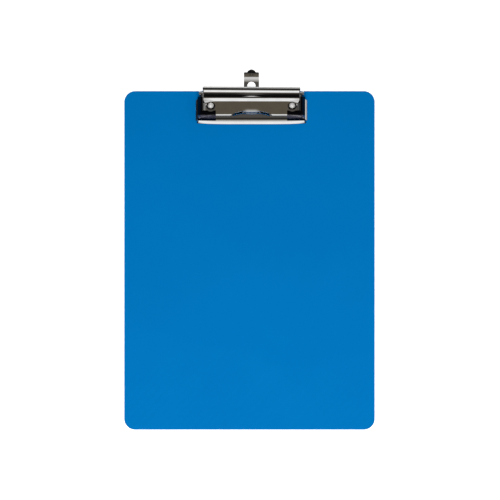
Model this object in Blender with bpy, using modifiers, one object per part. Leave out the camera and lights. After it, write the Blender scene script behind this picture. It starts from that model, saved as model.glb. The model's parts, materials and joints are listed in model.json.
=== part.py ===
"""A4 clipboard: a plastic board, a sprung lever clip with corner caps and a pull-out hanging tab.

The frame is the board's own: the origin is the centre of its back face, +X is to the right and
+Y towards the clip as one reads the sheet, and +Z points out of the writing face.
Sizes below are in millimetres; every mesh is written in metres.
"""

import math

import bmesh
import bpy
from mathutils import Matrix, Vector

MM = 0.001

# Board
BOARD_WIDTH = 229.0
BOARD_LENGTH = 309.5
BOARD_THICKNESS = 2.0
BOARD_CORNER_RADIUS = 10.0
BOARD_RIM_RADIUS = 0.6

# Clip as a whole: it sits a little to the right of the board's centre line
CLIP_OFFSET_X = 1.8
SHEET = 0.7
GAP = 0.3
RIVET_X = 37.2
RIVET_Y = 141.5
PIVOT_Y = 152.4
PIVOT_Z = 7.8

# Base plate: a raised floor with bent-down front and side edges, and an ear at each end
FLOOR_TOP = 4.4
FLOOR_HALF_WIDTH = 49.0
FLOOR_FRONT_Y = 128.6
FLOOR_REAR_Y = 153.5
FRONT_EDGE_Y = 124.3
FRONT_EDGE_Z = 2.95
FRONT_EDGE_HALF_WIDTH = 50.0
SIDE_EDGE_HALF_WIDTH = 50.9
SIDE_EDGE_Z = 3.0
SIDE_EDGE_FRONT_Y = (129.1, 127.2)
SIDE_EDGE_REAR_Y = (147.6, 146.0)
MITRE_GAP = 0.3
EAR_NOTCH_Y = 149.6
EAR_INSIDE_X = 45.6
EAR_THICKNESS = 0.8
EAR_RADIUS = 2.6
BOSS_RADIUS = 4.0
GROOVE_RADII = (2.6, 3.4, 4.2)  # inner edge, bottom and outer edge of the groove round a rivet
GROOVE_DEPTH = 0.9
RIB_X = (7.2, 8.2)
RIB_Y = (149.0, 153.3)

# Jaw: a front lip, a shallow plate, a valley over the pivot, a finger rim and side flanges
JAW_HALF_WIDTH = 44.4
JAW_FRONT_Y = 131.5
JAW_LIP_BOTTOM_Z = 4.9
JAW_LIP_RADIUS = 1.2
PLATE_FRONT_TOP = 8.5
PLATE_MIDDLE_Y = 138.0
JAW_TILTS = (  # place along the jaw, and the sheet's slope there in degrees
    (133.7, 11.0),
    (144.9, 11.0),
    (145.6, 24.0),
    (147.6, 27.0),
    (148.6, 0.0),
    (149.6, -14.0),
    (150.8, -6.0),
    (152.3, -5.5),
    (152.9, 4.0),
    (153.8, 22.0),
    (155.0, 27.0),
    (155.6, 4.0),
    (157.5, -18.0),
)
TILT_STEP = 0.05
POINT_SPACING = 0.6
RIM_RADIUS = 1.9
FLANGE_BOTTOM_Z = 5.0
FLANGE_INSET = 0.05
FLANGE_LOBE_RADIUS = 2.6
FLANGE_FRONT_END_Y = 149.6
FLANGE_REAR_END_Y = 156.4
ACCESS_HOLE_RADIUS = 4.35
ACCESS_HOLE_Y = 140.2
ARCH_OUTER_HALF = 17.6
ARCH_INNER_HALF = 6.8
ARCH_TOP_Y = 135.1

# Corner caps: moulded L-shaped pads pushed over the jaw's front corners
CAP_INNER_X = 32.5
CAP_OUTER_X = 49.4
CAP_CROWN_X = 46.2
CAP_FRONT_Y = 127.2
CAP_CROWN_Y = 131.5
CAP_REAR_Y = 149.5
CAP_TONGUE_Y = 136.5
CAP_SKIN = 0.9
CAP_EDGE_RADIUS = 0.8

# Pivot rod and torsion springs
ROD_RADIUS = 1.2
ROD_HOLE_RADIUS = 1.3
ROD_HEAD_RADIUS = 2.1
ROD_HEAD_CHAMFER = 0.2
ROD_HEAD_X = (46.7, 47.9)
SPRING_X = 22.0
SPRING_TURNS = 4
COIL_RADIUS = 2.15
COIL_PITCH = 1.15
WIRE_RADIUS = 0.5
FRONT_LEG_SLOPE = 45.0
REAR_LEG_SLOPE = 14.0
REAR_LEG_END_Y = 156.3
HOOK_BENDS = ((3.1, 0.0), (1.6, 0.0), (0.9, 0.35), (0.5, 1.1))  # before the leg's bend, and up
COIL_STEPS = 16
LEG_SLOT_Y = (144.8, 148.1)
LEG_SLOT_HALF_WIDTH = 0.95

# Rivets and washers, set in recesses so that the board's back stays flat
RIVET_HEAD_RADIUS = 2.5
RIVET_HEAD_HEIGHT = 1.7
RIVET_SHANK_RADIUS = 1.6
RIVET_HOLE_RADIUS = 1.9
RIVET_TAIL_RADIUS = 2.6
RIVET_TAIL_Z = (0.1, 0.55)
WASHER_RADII = (1.75, 4.6)
WASHER_Z = (0.65, 1.0)
RECESS_RADIUS = 5.2
RECESS_DEPTH = 1.1

# Hanging tab: a strip that slides under the base plate, with a hole and a raised rounded tip
TAB_HALF_WIDTH = 6.9
TAB_THICKNESS = 0.6
TAB_TOP = 2.95
TAB_RAMP_TOP = 4.5
TAB_TIP_TOP = 4.95
TAB_SHOULDER_HALF_WIDTH = 10.0
TAB_SHOULDER_Y = (140.5, 143.5)
TAB_TRIM = 0.05
TAB_RAMP_Y = (163.0, 167.7)
TAB_END_Y = 171.8
TAB_NUB_HALF_WIDTH = 4.0
TAB_NUB_Y = 174.4
TAB_HOLE_RADIUS = 3.85
TAB_HOLE_Y = 159.35

CIRCLE_STEPS = 32
CORNER_STEPS = 8
CLEAR = 10.0  # how far a cutter reaches beyond what it cuts
OVERLAP = 0.1  # how far a joined piece reaches into its neighbour


def clear_scene():
    for item in list(bpy.data.objects):
        bpy.data.objects.remove(item, do_unlink=True)


def new_collection(name, hidden=False):
    collection = bpy.data.collections.new(name)
    collection.hide_render = hidden
    bpy.context.scene.collection.children.link(collection)
    return collection


def new_material(name, colour, roughness, metallic):
    material = bpy.data.materials.new(name)
    material.use_nodes = True
    shader = material.node_tree.nodes["Principled BSDF"]
    shader.inputs["Base Color"].default_value = (*colour, 1.0)
    shader.inputs["Roughness"].default_value = roughness
    shader.inputs["Metallic"].default_value = metallic
    material.diffuse_color = (*colour, 1.0)
    return material


def add_object(name, mesh, collection=None, parent=None, material=None):
    """An object whose mesh is written in clip coordinates, or in the board's if it has no parent."""
    item = bpy.data.objects.new(name, mesh)
    (collection or cutters).objects.link(item)
    if collection is None:
        item.hide_render = True
        item.display_type = "WIRE"
    if parent:
        item.parent = parent
        if parent.parent:
            item.location = -parent.location
    if material:
        item.data.materials.append(material)
    return item


def add_empty(name, location, parent=None):
    """A group's axis point: the clip's middle, or a moving group's place in the clip."""
    empty = bpy.data.objects.new(name, None)
    parts.objects.link(empty)
    empty.parent = parent
    empty.location = Vector(location) * MM
    return empty


def arc(centre, radius, start, end, steps):
    """Points along an arc in a plane, with angles in degrees."""
    angles = [math.radians(start + (end - start) * i / steps) for i in range(steps + 1)]
    return [(centre[0] + radius * math.cos(a), centre[1] + radius * math.sin(a)) for a in angles]


def finish_mesh(bm, name):
    bmesh.ops.scale(bm, vec=(MM, MM, MM), verts=bm.verts)
    mesh = bpy.data.meshes.new(name)
    bm.to_mesh(mesh)
    bm.free()
    return mesh


def turn_towards_x(bm):
    """Turns a shape drawn in (y, z) and extruded along z so that it is extruded along x."""
    turn = Matrix(((0, 0, 1), (1, 0, 0), (0, 1, 0)))
    bmesh.ops.rotate(bm, matrix=turn, verts=bm.verts)


def plate_mesh(name, outline, low, high, along_x=False):
    """A closed plate from a flat outline: a filled 2D curve, extruded by half its thickness."""
    curve = bpy.data.curves.new(name, "CURVE")
    curve.dimensions = "2D"
    curve.fill_mode = "BOTH"
    curve.extrude = (high - low) / 2
    spline = curve.splines.new("POLY")
    spline.points.add(len(outline) - 1)
    for point, (x, y) in zip(spline.points, outline):
        point.co = (x, y, 0.0, 1.0)
    spline.use_cyclic_u = True
    holder = bpy.data.objects.new(name, curve)
    bpy.context.scene.collection.objects.link(holder)
    graph = bpy.context.evaluated_depsgraph_get()
    drawn = bpy.data.meshes.new_from_object(holder.evaluated_get(graph))
    bpy.data.objects.remove(holder)
    bm = bmesh.new()
    bm.from_mesh(drawn)
    bpy.data.meshes.remove(drawn)
    bmesh.ops.remove_doubles(bm, verts=bm.verts, dist=1e-4)
    bmesh.ops.translate(bm, vec=(0, 0, (low + high) / 2), verts=bm.verts)
    if along_x:
        turn_towards_x(bm)
    bmesh.ops.recalc_face_normals(bm, faces=bm.faces)
    return finish_mesh(bm, name)


def block_mesh(name, low, high):
    bm = bmesh.new()
    bmesh.ops.create_cube(bm, size=1.0)
    low = Vector(low)
    high = Vector(high)
    bmesh.ops.scale(bm, vec=high - low, verts=bm.verts)
    bmesh.ops.translate(bm, vec=(low + high) / 2, verts=bm.verts)
    return finish_mesh(bm, name)


def disc_mesh(name, centre, radius, low, high, along_x=False):
    """A cylinder along z, or along x with its centre given as (y, z)."""
    bm = bmesh.new()
    bmesh.ops.create_cone(
        bm, cap_ends=True, segments=CIRCLE_STEPS, radius1=radius, radius2=radius, depth=high - low
    )
    bmesh.ops.translate(bm, vec=(centre[0], centre[1], (low + high) / 2), verts=bm.verts)
    if along_x:
        turn_towards_x(bm)
    return finish_mesh(bm, name)


def turned_mesh(name, profile):
    """An open profile of (radius, height), top to bottom on its outer side, for a Screw modifier."""
    bm = bmesh.new()
    points = [bm.verts.new((radius, 0.0, height)) for radius, height in profile]
    for first, second in zip(points, points[1:]):
        bm.edges.new((first, second))
    return finish_mesh(bm, name)


def add_screw(item):
    screw = item.modifiers.new("turn", "SCREW")
    screw.steps = CIRCLE_STEPS
    screw.render_steps = CIRCLE_STEPS
    screw.use_merge_vertices = True
    screw.merge_threshold = 1e-6


def add_solidify(item, thickness):
    """Thickness is added under the drawn surface, whose normals point outwards."""
    solidify = item.modifiers.new("sheet", "SOLIDIFY")
    solidify.thickness = thickness * MM
    solidify.offset = -1.0
    solidify.use_even_offset = True


def add_bevel(item, width, segments=2, angle=40.0):
    bevel = item.modifiers.new("edges", "BEVEL")
    bevel.width = width * MM
    bevel.segments = segments
    bevel.limit_method = "ANGLE"
    bevel.angle_limit = math.radians(angle)


def add_boolean(item, other, operation="DIFFERENCE", solver="EXACT"):
    boolean = item.modifiers.new(other.name, "BOOLEAN")
    boolean.operation = operation
    boolean.solver = solver
    boolean.object = other


def smooth(item, angle=35.0):
    item.data.shade_smooth()
    item.data.set_sharp_from_angle(angle=math.radians(angle))


def helper(name, mesh, parent):
    return add_object(name, mesh, parent=parent)


def board_outline():
    half_x = BOARD_WIDTH / 2 - BOARD_CORNER_RADIUS
    half_y = BOARD_LENGTH / 2 - BOARD_CORNER_RADIUS
    outline = []
    for quarter, (sx, sy) in enumerate(((1, 1), (-1, 1), (-1, -1), (1, -1))):
        start = 90.0 * quarter
        centre = (sx * half_x, sy * half_y)
        outline += arc(centre, BOARD_CORNER_RADIUS, start, start + 90.0, CORNER_STEPS)
    return outline


def make_board():
    mesh = plate_mesh("board", board_outline(), 0.0, BOARD_THICKNESS)
    board = add_object("board", mesh, parts, material=blue_plastic)
    add_bevel(board, BOARD_RIM_RADIUS)
    for side, x in (("left", -RIVET_X), ("right", RIVET_X)):
        centre = (x, RIVET_Y)
        hole = disc_mesh("hole", centre, RIVET_HOLE_RADIUS, -CLEAR, BOARD_THICKNESS + CLEAR)
        recess = disc_mesh("recess", centre, RECESS_RADIUS, -CLEAR, RECESS_DEPTH)
        add_boolean(board, helper(f"board_hole_{side}", hole, clip))
        add_boolean(board, helper(f"board_recess_{side}", recess, clip))


def base_surface():
    """The top of the folded plate: its floor, its front edge and a side edge at each end."""
    bm = bmesh.new()
    half = FLOOR_HALF_WIDTH
    ear_outside = EAR_INSIDE_X + EAR_THICKNESS

    def vert(x, y, z=FLOOR_TOP):
        return bm.verts.new((x, y, z))

    # Each end of the floor, from the front fold back to the ear
    ends = {
        side: [
            vert(side * (half - MITRE_GAP), FLOOR_FRONT_Y),
            vert(side * half, SIDE_EDGE_FRONT_Y[0]),
            vert(side * half, SIDE_EDGE_REAR_Y[0]),
            vert(side * ear_outside, EAR_NOTCH_Y),
            vert(side * ear_outside, FLOOR_REAR_Y),
        ]
        for side in (-1, 1)
    }
    bm.faces.new(ends[1] + ends[-1][::-1])
    low_left = vert(-FRONT_EDGE_HALF_WIDTH, FRONT_EDGE_Y, FRONT_EDGE_Z)
    low_right = vert(FRONT_EDGE_HALF_WIDTH, FRONT_EDGE_Y, FRONT_EDGE_Z)
    bm.faces.new((ends[-1][0], low_left, low_right, ends[1][0]))
    for side, (_, fold_front, fold_rear, *_) in ends.items():
        outer_front = vert(side * SIDE_EDGE_HALF_WIDTH, SIDE_EDGE_FRONT_Y[1], SIDE_EDGE_Z)
        outer_rear = vert(side * SIDE_EDGE_HALF_WIDTH, SIDE_EDGE_REAR_Y[1], SIDE_EDGE_Z)
        bm.faces.new((fold_front, outer_front, outer_rear, fold_rear))
    bm.normal_update()
    for face in bm.faces:
        if face.normal.z < 0:
            face.normal_flip()
    return finish_mesh(bm, "base_plate")


def ear_outline():
    """One ear in (y, z): a foot on the floor, a sloping back and a round top about the pivot."""
    top = arc((PIVOT_Y, PIVOT_Z), EAR_RADIUS, 0.0, 180.0, 2 * CORNER_STEPS)
    foot_z = FLOOR_TOP - SHEET / 2
    return [(PIVOT_Y - EAR_RADIUS, foot_z), (FLOOR_REAR_Y - OVERLAP, foot_z)] + top


def groove_cutter(name, side):
    """A V-section ring that presses a groove into the floor round a rivet."""
    inner, bottom, outer = GROOVE_RADII
    spread = OVERLAP * (outer - bottom) / GROOVE_DEPTH
    profile = [
        (bottom, FLOOR_TOP - GROOVE_DEPTH),
        (inner - spread, FLOOR_TOP + OVERLAP),
        (outer + spread, FLOOR_TOP + OVERLAP),
        (bottom, FLOOR_TOP - GROOVE_DEPTH),
    ]
    cutter = helper(name, turned_mesh(name, profile), clip)
    cutter.location = Vector((side * RIVET_X, RIVET_Y, 0.0)) * MM
    add_screw(cutter)
    return cutter


def make_base_plate():
    base = add_object("base_plate", base_surface(), parts, clip, steel)
    add_solidify(base, SHEET)
    underside = FLOOR_TOP - SHEET
    for side, sign in (("left", -1), ("right", 1)):
        low, high = sorted((sign * EAR_INSIDE_X, sign * (EAR_INSIDE_X + EAR_THICKNESS)))
        ear = plate_mesh("ear", ear_outline(), low, high, along_x=True)
        centre = (sign * RIVET_X, RIVET_Y)
        boss_top = underside + OVERLAP
        boss = disc_mesh("boss", centre, BOSS_RADIUS, BOARD_THICKNESS + GAP, boss_top)
        ends = sorted((sign * RIB_X[0], sign * RIB_X[1]))
        rib_low = (ends[0], RIB_Y[0], BOARD_THICKNESS + GAP)
        rib = block_mesh("rib", rib_low, (ends[1], RIB_Y[1], boss_top))
        for name, mesh in (("ear", ear), ("boss", boss), ("rib", rib)):
            add_boolean(base, helper(f"base_{name}_{side}", mesh, clip), "UNION")
        hole = disc_mesh("hole", centre, RIVET_HOLE_RADIUS, 0.0, FLOOR_TOP + CLEAR)
        slot_x = sign * leg_x()
        slot_low = (slot_x - LEG_SLOT_HALF_WIDTH, LEG_SLOT_Y[0], 0.0)
        slot_high = (slot_x + LEG_SLOT_HALF_WIDTH, LEG_SLOT_Y[1], FLOOR_TOP + CLEAR)
        add_boolean(base, helper(f"base_hole_{side}", hole, clip))
        add_boolean(base, groove_cutter(f"base_groove_{side}", sign))
        add_boolean(base, helper(f"base_slot_{side}", block_mesh("slot", slot_low, slot_high), clip))
    reach = EAR_INSIDE_X + CLEAR
    bore = disc_mesh("bore", (PIVOT_Y, PIVOT_Z), ROD_HOLE_RADIUS, -reach, reach, along_x=True)
    add_boolean(base, helper("base_rod_bore", bore, clip))


def tilt_at(y):
    """The sheet's slope at a place along the jaw, in degrees."""
    for (y0, tilt0), (y1, tilt1) in zip(JAW_TILTS, JAW_TILTS[1:]):
        if y <= y1:
            return tilt0 + (tilt1 - tilt0) * (y - y0) / (y1 - y0)
    return JAW_TILTS[-1][1]


def plate_top(y):
    return PLATE_FRONT_TOP + (y - JAW_TILTS[0][0]) * math.tan(math.radians(JAW_TILTS[0][1]))


def jaw_profile():
    """The jaw's outer surface in (y, z), from the foot of its front lip to the end of its rim."""
    tilt = math.radians(JAW_TILTS[0][1])
    centre_y = JAW_FRONT_Y + JAW_LIP_RADIUS
    touch_y = centre_y - JAW_LIP_RADIUS * math.sin(tilt)
    centre_z = plate_top(touch_y) - JAW_LIP_RADIUS * math.cos(tilt)
    lip = arc((centre_y, centre_z), JAW_LIP_RADIUS, 180.0, 90.0 + JAW_TILTS[0][1], 3)
    points = [(JAW_FRONT_Y, JAW_LIP_BOTTOM_Z)] + lip
    y, z = JAW_TILTS[1][0], plate_top(JAW_TILTS[1][0])
    points += [(PLATE_MIDDLE_Y, plate_top(PLATE_MIDDLE_Y)), (y, z)]
    half_step = TILT_STEP / 2
    next_point = y + POINT_SPACING
    while y < JAW_TILTS[-1][0] - half_step:
        z += TILT_STEP * math.tan(math.radians(tilt_at(y + half_step)))
        y += TILT_STEP
        if y >= next_point - half_step:
            points.append((y, z))
            next_point += POINT_SPACING
    last = 90.0 + JAW_TILTS[-1][1]
    angle = math.radians(last)
    centre = (y - RIM_RADIUS * math.cos(angle), z - RIM_RADIUS * math.sin(angle))
    if y - points[-1][0] < POINT_SPACING / 2:
        points.pop()
    return points + arc(centre, RIM_RADIUS, last, 0.0, 4)


def flange_outline():
    """A side flange in (y, z): its top lies inside the sheet, and it is round under the pivot."""
    front = JAW_FRONT_Y + SHEET / 2
    inner_roll = front + JAW_LIP_RADIUS
    half = SHEET / 2
    upper = [(y, z - half) for y, z in jaw_profile() if inner_roll < y < FLANGE_REAR_END_Y]
    lobe = arc((PIVOT_Y, PIVOT_Z), FLANGE_LOBE_RADIUS, -90.0, 0.0, CORNER_STEPS)
    bottom = [(front, FLANGE_BOTTOM_Z), (FLANGE_FRONT_END_Y, FLANGE_BOTTOM_Z)]
    return bottom + lobe + upper[::-1] + [(front, plate_top(front) - JAW_LIP_RADIUS)]


def jaw_surface():
    """The jaw's outer surface between its flanges: one strip for each step of the profile."""
    bm = bmesh.new()
    half = JAW_HALF_WIDTH
    rows = [[bm.verts.new((x, y, z)) for x in (-half, half)] for y, z in jaw_profile()]
    for first, second in zip(rows, rows[1:]):
        bm.faces.new((first[0], first[1], second[1], second[0]))
    return finish_mesh(bm, "jaw")


def make_jaw():
    jaw = add_object("jaw", jaw_surface(), parts, jaw_pivot, steel)
    add_solidify(jaw, SHEET)
    outer = JAW_HALF_WIDTH - FLANGE_INSET
    for side, sign in (("left", -1), ("right", 1)):
        low, high = sorted((sign * outer, sign * (outer - SHEET)))
        flange = plate_mesh("flange", flange_outline(), low, high, along_x=True)
        # The exact solver leaves open edges where the flange meets the curved ridge
        add_boolean(jaw, helper(f"jaw_flange_{side}", flange, clip), "UNION", "MANIFOLD")
    front = JAW_FRONT_Y - CLEAR
    arch = [
        (-ARCH_OUTER_HALF, front),
        (-ARCH_OUTER_HALF, JAW_FRONT_Y),
        (-ARCH_INNER_HALF, ARCH_TOP_Y),
        (ARCH_INNER_HALF, ARCH_TOP_Y),
        (ARCH_OUTER_HALF, JAW_FRONT_Y),
        (ARCH_OUTER_HALF, front),
    ]
    arch_mesh = plate_mesh("arch", arch, 0.0, PIVOT_Z + CLEAR)
    add_boolean(jaw, helper("jaw_arch", arch_mesh, clip))
    for side, x in (("left", -RIVET_X), ("right", RIVET_X)):
        hole = disc_mesh("hole", (x, ACCESS_HOLE_Y), ACCESS_HOLE_RADIUS, PIVOT_Z, PIVOT_Z + CLEAR)
        add_boolean(jaw, helper(f"jaw_access_{side}", hole, clip))
    reach = JAW_HALF_WIDTH + CLEAR
    bore = disc_mesh("bore", (PIVOT_Y, PIVOT_Z), ROD_HOLE_RADIUS, -reach, reach, along_x=True)
    add_boolean(jaw, helper("jaw_rod_bore", bore, clip))


def cap_block(side):
    """The cap before hollowing: a block whose outer and front faces lean in towards a tilted crown."""
    bm = bmesh.new()
    bmesh.ops.create_cube(bm, size=2.0)
    foot_z = FLOOR_TOP + GAP
    for vert in bm.verts:
        high = vert.co.z > 0
        outer = CAP_CROWN_X if high else CAP_OUTER_X
        front = CAP_CROWN_Y if high else CAP_FRONT_Y
        x = side * (outer if vert.co.x > 0 else CAP_INNER_X)
        y = CAP_REAR_Y if vert.co.y > 0 else front
        z = plate_top(y) + GAP + CAP_SKIN if high else foot_z
        vert.co = (x, y, z)
    bmesh.ops.recalc_face_normals(bm, faces=bm.faces)
    return finish_mesh(bm, "corner_cap")


def cap_hollow_outline():
    """The space of the jaw inside a cap, in (y, z), open at the back of the tongue and below."""
    front_y = JAW_FRONT_Y - GAP
    over = CAP_TONGUE_Y
    return [
        (front_y, 0.0),
        (front_y, plate_top(front_y) - JAW_LIP_RADIUS / 2),
        (front_y + JAW_LIP_RADIUS / 2, plate_top(front_y + JAW_LIP_RADIUS / 2) + GAP),
        (over, plate_top(over) + GAP),
        (over, plate_top(over) + CLEAR),
        (CAP_REAR_Y + CLEAR, plate_top(over) + CLEAR),
        (CAP_REAR_Y + CLEAR, 0.0),
    ]


def make_cap(name, side):
    cap = add_object(name, cap_block(side), parts, jaw_pivot, black_plastic)
    add_bevel(cap, CAP_EDGE_RADIUS)
    low, high = sorted((side * (CAP_INNER_X - CLEAR), side * (JAW_HALF_WIDTH + GAP)))
    hollow = plate_mesh("hollow", cap_hollow_outline(), low, high, along_x=True)
    add_boolean(cap, helper(f"{name}_hollow", hollow, clip))
    centre = (side * RIVET_X, ACCESS_HOLE_Y)
    notch = disc_mesh("notch", centre, ACCESS_HOLE_RADIUS + GAP, 0.0, PIVOT_Z + CLEAR)
    add_boolean(cap, helper(f"{name}_notch", notch, clip))


def make_rod():
    x_in, x_out = ROD_HEAD_X
    chamfered = ROD_HEAD_RADIUS - ROD_HEAD_CHAMFER
    profile = [(0.0, x_out), (chamfered, x_out), (ROD_HEAD_RADIUS, x_out - ROD_HEAD_CHAMFER)]
    profile += [(ROD_HEAD_RADIUS, x_in), (ROD_RADIUS, x_in)]
    profile += [(radius, -x) for radius, x in profile[::-1]]
    rod = add_object("pivot_rod", turned_mesh("pivot_rod", profile), parts, clip, steel)
    rod.location = Vector((0.0, PIVOT_Y, PIVOT_Z)) * MM
    rod.rotation_euler = (0.0, math.radians(90.0), 0.0)
    add_screw(rod)


def leg_x():
    """How far from the clip's middle a spring's front leg lies: at the coil's inner end."""
    return SPRING_X - COIL_PITCH * SPRING_TURNS / 2


def coil_point(angle):
    """A point of a coil in (y, z) for an angle in degrees, from +Y towards +Z."""
    turn = math.radians(angle)
    return (PIVOT_Y + COIL_RADIUS * math.cos(turn), PIVOT_Z + COIL_RADIUS * math.sin(turn))


def spring_path(side):
    """Front leg, coil and rear leg of a spring that winds up as the jaw opens."""
    front_angle = 90.0 + FRONT_LEG_SLOPE
    rear_angle = 90.0 + REAR_LEG_SLOPE - 360.0 * SPRING_TURNS
    front_y, front_z = coil_point(front_angle)
    slope = math.tan(math.radians(FRONT_LEG_SLOPE))
    bend_z = FLOOR_TOP + WIRE_RADIUS + GAP
    bend_y = front_y - (front_z - bend_z) / slope
    hook_z = FLOOR_TOP - SHEET - GAP - WIRE_RADIUS
    x = leg_x()
    path = [(x, bend_y - back, hook_z + rise) for back, rise in HOOK_BENDS]
    path.append((x, bend_y, bend_z))
    steps = COIL_STEPS * SPRING_TURNS
    for i in range(steps + 1):
        share = i / steps
        y, z = coil_point(front_angle + (rear_angle - front_angle) * share)
        path.append((x + COIL_PITCH * SPRING_TURNS * share, y, z))
    rear_y, rear_z = coil_point(rear_angle)
    rise = (REAR_LEG_END_Y - rear_y) * math.tan(math.radians(REAR_LEG_SLOPE))
    path.append((x + COIL_PITCH * SPRING_TURNS, REAR_LEG_END_Y, rear_z + rise))
    return [(side * px, py, pz) for px, py, pz in path]


def make_spring(name, side):
    curve = bpy.data.curves.new(name, "CURVE")
    curve.dimensions = "3D"
    curve.bevel_depth = WIRE_RADIUS * MM
    curve.bevel_resolution = 2
    curve.use_fill_caps = True
    path = spring_path(side)
    spline = curve.splines.new("POLY")
    spline.points.add(len(path) - 1)
    for point, place in zip(spline.points, path):
        point.co = (*(Vector(place) * MM), 1.0)
    add_object(name, curve, parts, clip, steel)


def make_rivet(name, side):
    top = FLOOR_TOP + GAP
    rise = RIVET_HEAD_HEIGHT
    curve_radius = (RIVET_HEAD_RADIUS**2 + rise**2) / (2 * rise)
    sweep = math.degrees(math.asin(RIVET_HEAD_RADIUS / curve_radius))
    dome = arc((0.0, top + rise - curve_radius), curve_radius, 90.0, 90.0 - sweep, CORNER_STEPS)
    profile = [(max(x, 0.0), z) for x, z in dome]
    profile += [
        (RIVET_SHANK_RADIUS, top),
        (RIVET_SHANK_RADIUS, RIVET_TAIL_Z[1]),
        (RIVET_TAIL_RADIUS, RIVET_TAIL_Z[1]),
        (RIVET_TAIL_RADIUS, RIVET_TAIL_Z[0]),
        (0.0, RIVET_TAIL_Z[0]),
    ]
    rivet = add_object(name, turned_mesh(name, profile), parts, clip, steel)
    rivet.location = Vector((side * RIVET_X, RIVET_Y, 0.0)) * MM
    add_screw(rivet)


def make_washer(name, side):
    inner, outer = WASHER_RADII
    low, high = WASHER_Z
    profile = [(inner, high), (outer, high), (outer, low), (inner, low), (inner, high)]
    washer = add_object(name, turned_mesh(name, profile), parts, clip, steel)
    washer.location = Vector((side * RIVET_X, RIVET_Y, 0.0)) * MM
    add_screw(washer)


def tab_surface():
    """The strip's top, wide enough for its shoulders: level, a ramp, and a gently rising tip."""
    bm = bmesh.new()
    spots = [
        (TAB_SHOULDER_Y[0], TAB_TOP),
        (TAB_RAMP_Y[0], TAB_TOP),
        (TAB_RAMP_Y[1], TAB_RAMP_TOP),
        (TAB_END_Y, TAB_TIP_TOP),
        (TAB_NUB_Y + OVERLAP, TAB_TIP_TOP),
    ]
    half = TAB_SHOULDER_HALF_WIDTH + OVERLAP
    rows = [[bm.verts.new((x, y, z)) for x in (-half, half)] for y, z in spots]
    for first, second in zip(rows, rows[1:]):
        bm.faces.new((first[0], first[1], second[1], second[0]))
    return finish_mesh(bm, "hanging_tab")


def tab_outline():
    """The strip seen from above: shoulders inside the clip, straight sides and a rounded nub."""
    nub_rise = TAB_NUB_Y - TAB_END_Y
    radius = (TAB_NUB_HALF_WIDTH**2 + nub_rise**2) / (2 * nub_rise)
    sweep = math.degrees(math.asin(TAB_NUB_HALF_WIDTH / radius))
    nub = arc((0.0, TAB_NUB_Y - radius), radius, 90.0 - sweep, 90.0 + sweep, CORNER_STEPS)
    low, high = TAB_SHOULDER_Y
    return [
        (-TAB_SHOULDER_HALF_WIDTH, low + TAB_TRIM),
        (TAB_SHOULDER_HALF_WIDTH, low + TAB_TRIM),
        (TAB_SHOULDER_HALF_WIDTH, high),
        (TAB_HALF_WIDTH, high),
        (TAB_HALF_WIDTH, TAB_END_Y),
        *nub,
        (-TAB_HALF_WIDTH, TAB_END_Y),
        (-TAB_HALF_WIDTH, high),
        (-TAB_SHOULDER_HALF_WIDTH, high),
    ]


def make_hanging_tab():
    tab = add_object("hanging_tab", tab_surface(), parts, tab_slide, steel)
    add_solidify(tab, TAB_THICKNESS)
    outline = plate_mesh("outline", tab_outline(), 0.0, CLEAR)
    add_boolean(tab, helper("tab_outline", outline, clip), "INTERSECT")
    hole = disc_mesh("hole", (0.0, TAB_HOLE_Y), TAB_HOLE_RADIUS, 0.0, CLEAR)
    add_boolean(tab, helper("tab_hole", hole, clip))


clear_scene()
parts = new_collection("clipboard")
cutters = new_collection("cutters", hidden=True)

blue_plastic = new_material("blue_plastic", (0.0, 0.17, 0.50), 0.45, 0.0)
steel = new_material("plated_steel", (0.72, 0.71, 0.69), 0.15, 1.0)
black_plastic = new_material("black_plastic", (0.012, 0.012, 0.014), 0.35, 0.0)

clip = add_empty("clip_centre", (CLIP_OFFSET_X, 0.0, 0.0))
jaw_pivot = add_empty("jaw_pivot", (0.0, PIVOT_Y, PIVOT_Z), clip)
tab_slide = add_empty("tab_slide", (0.0, TAB_HOLE_Y, TAB_TOP), clip)

make_board()
make_base_plate()
make_jaw()
make_rod()
make_hanging_tab()
for label, sign in (("left", -1), ("right", 1)):
    make_cap(f"corner_cap_{label}", sign)
    make_spring(f"spring_{label}", sign)
    make_rivet(f"rivet_{label}", sign)
    make_washer(f"washer_{label}", sign)
for item in parts.objects:
    if item.type == "MESH":
        smooth(item)
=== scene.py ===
import json
import math

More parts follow.
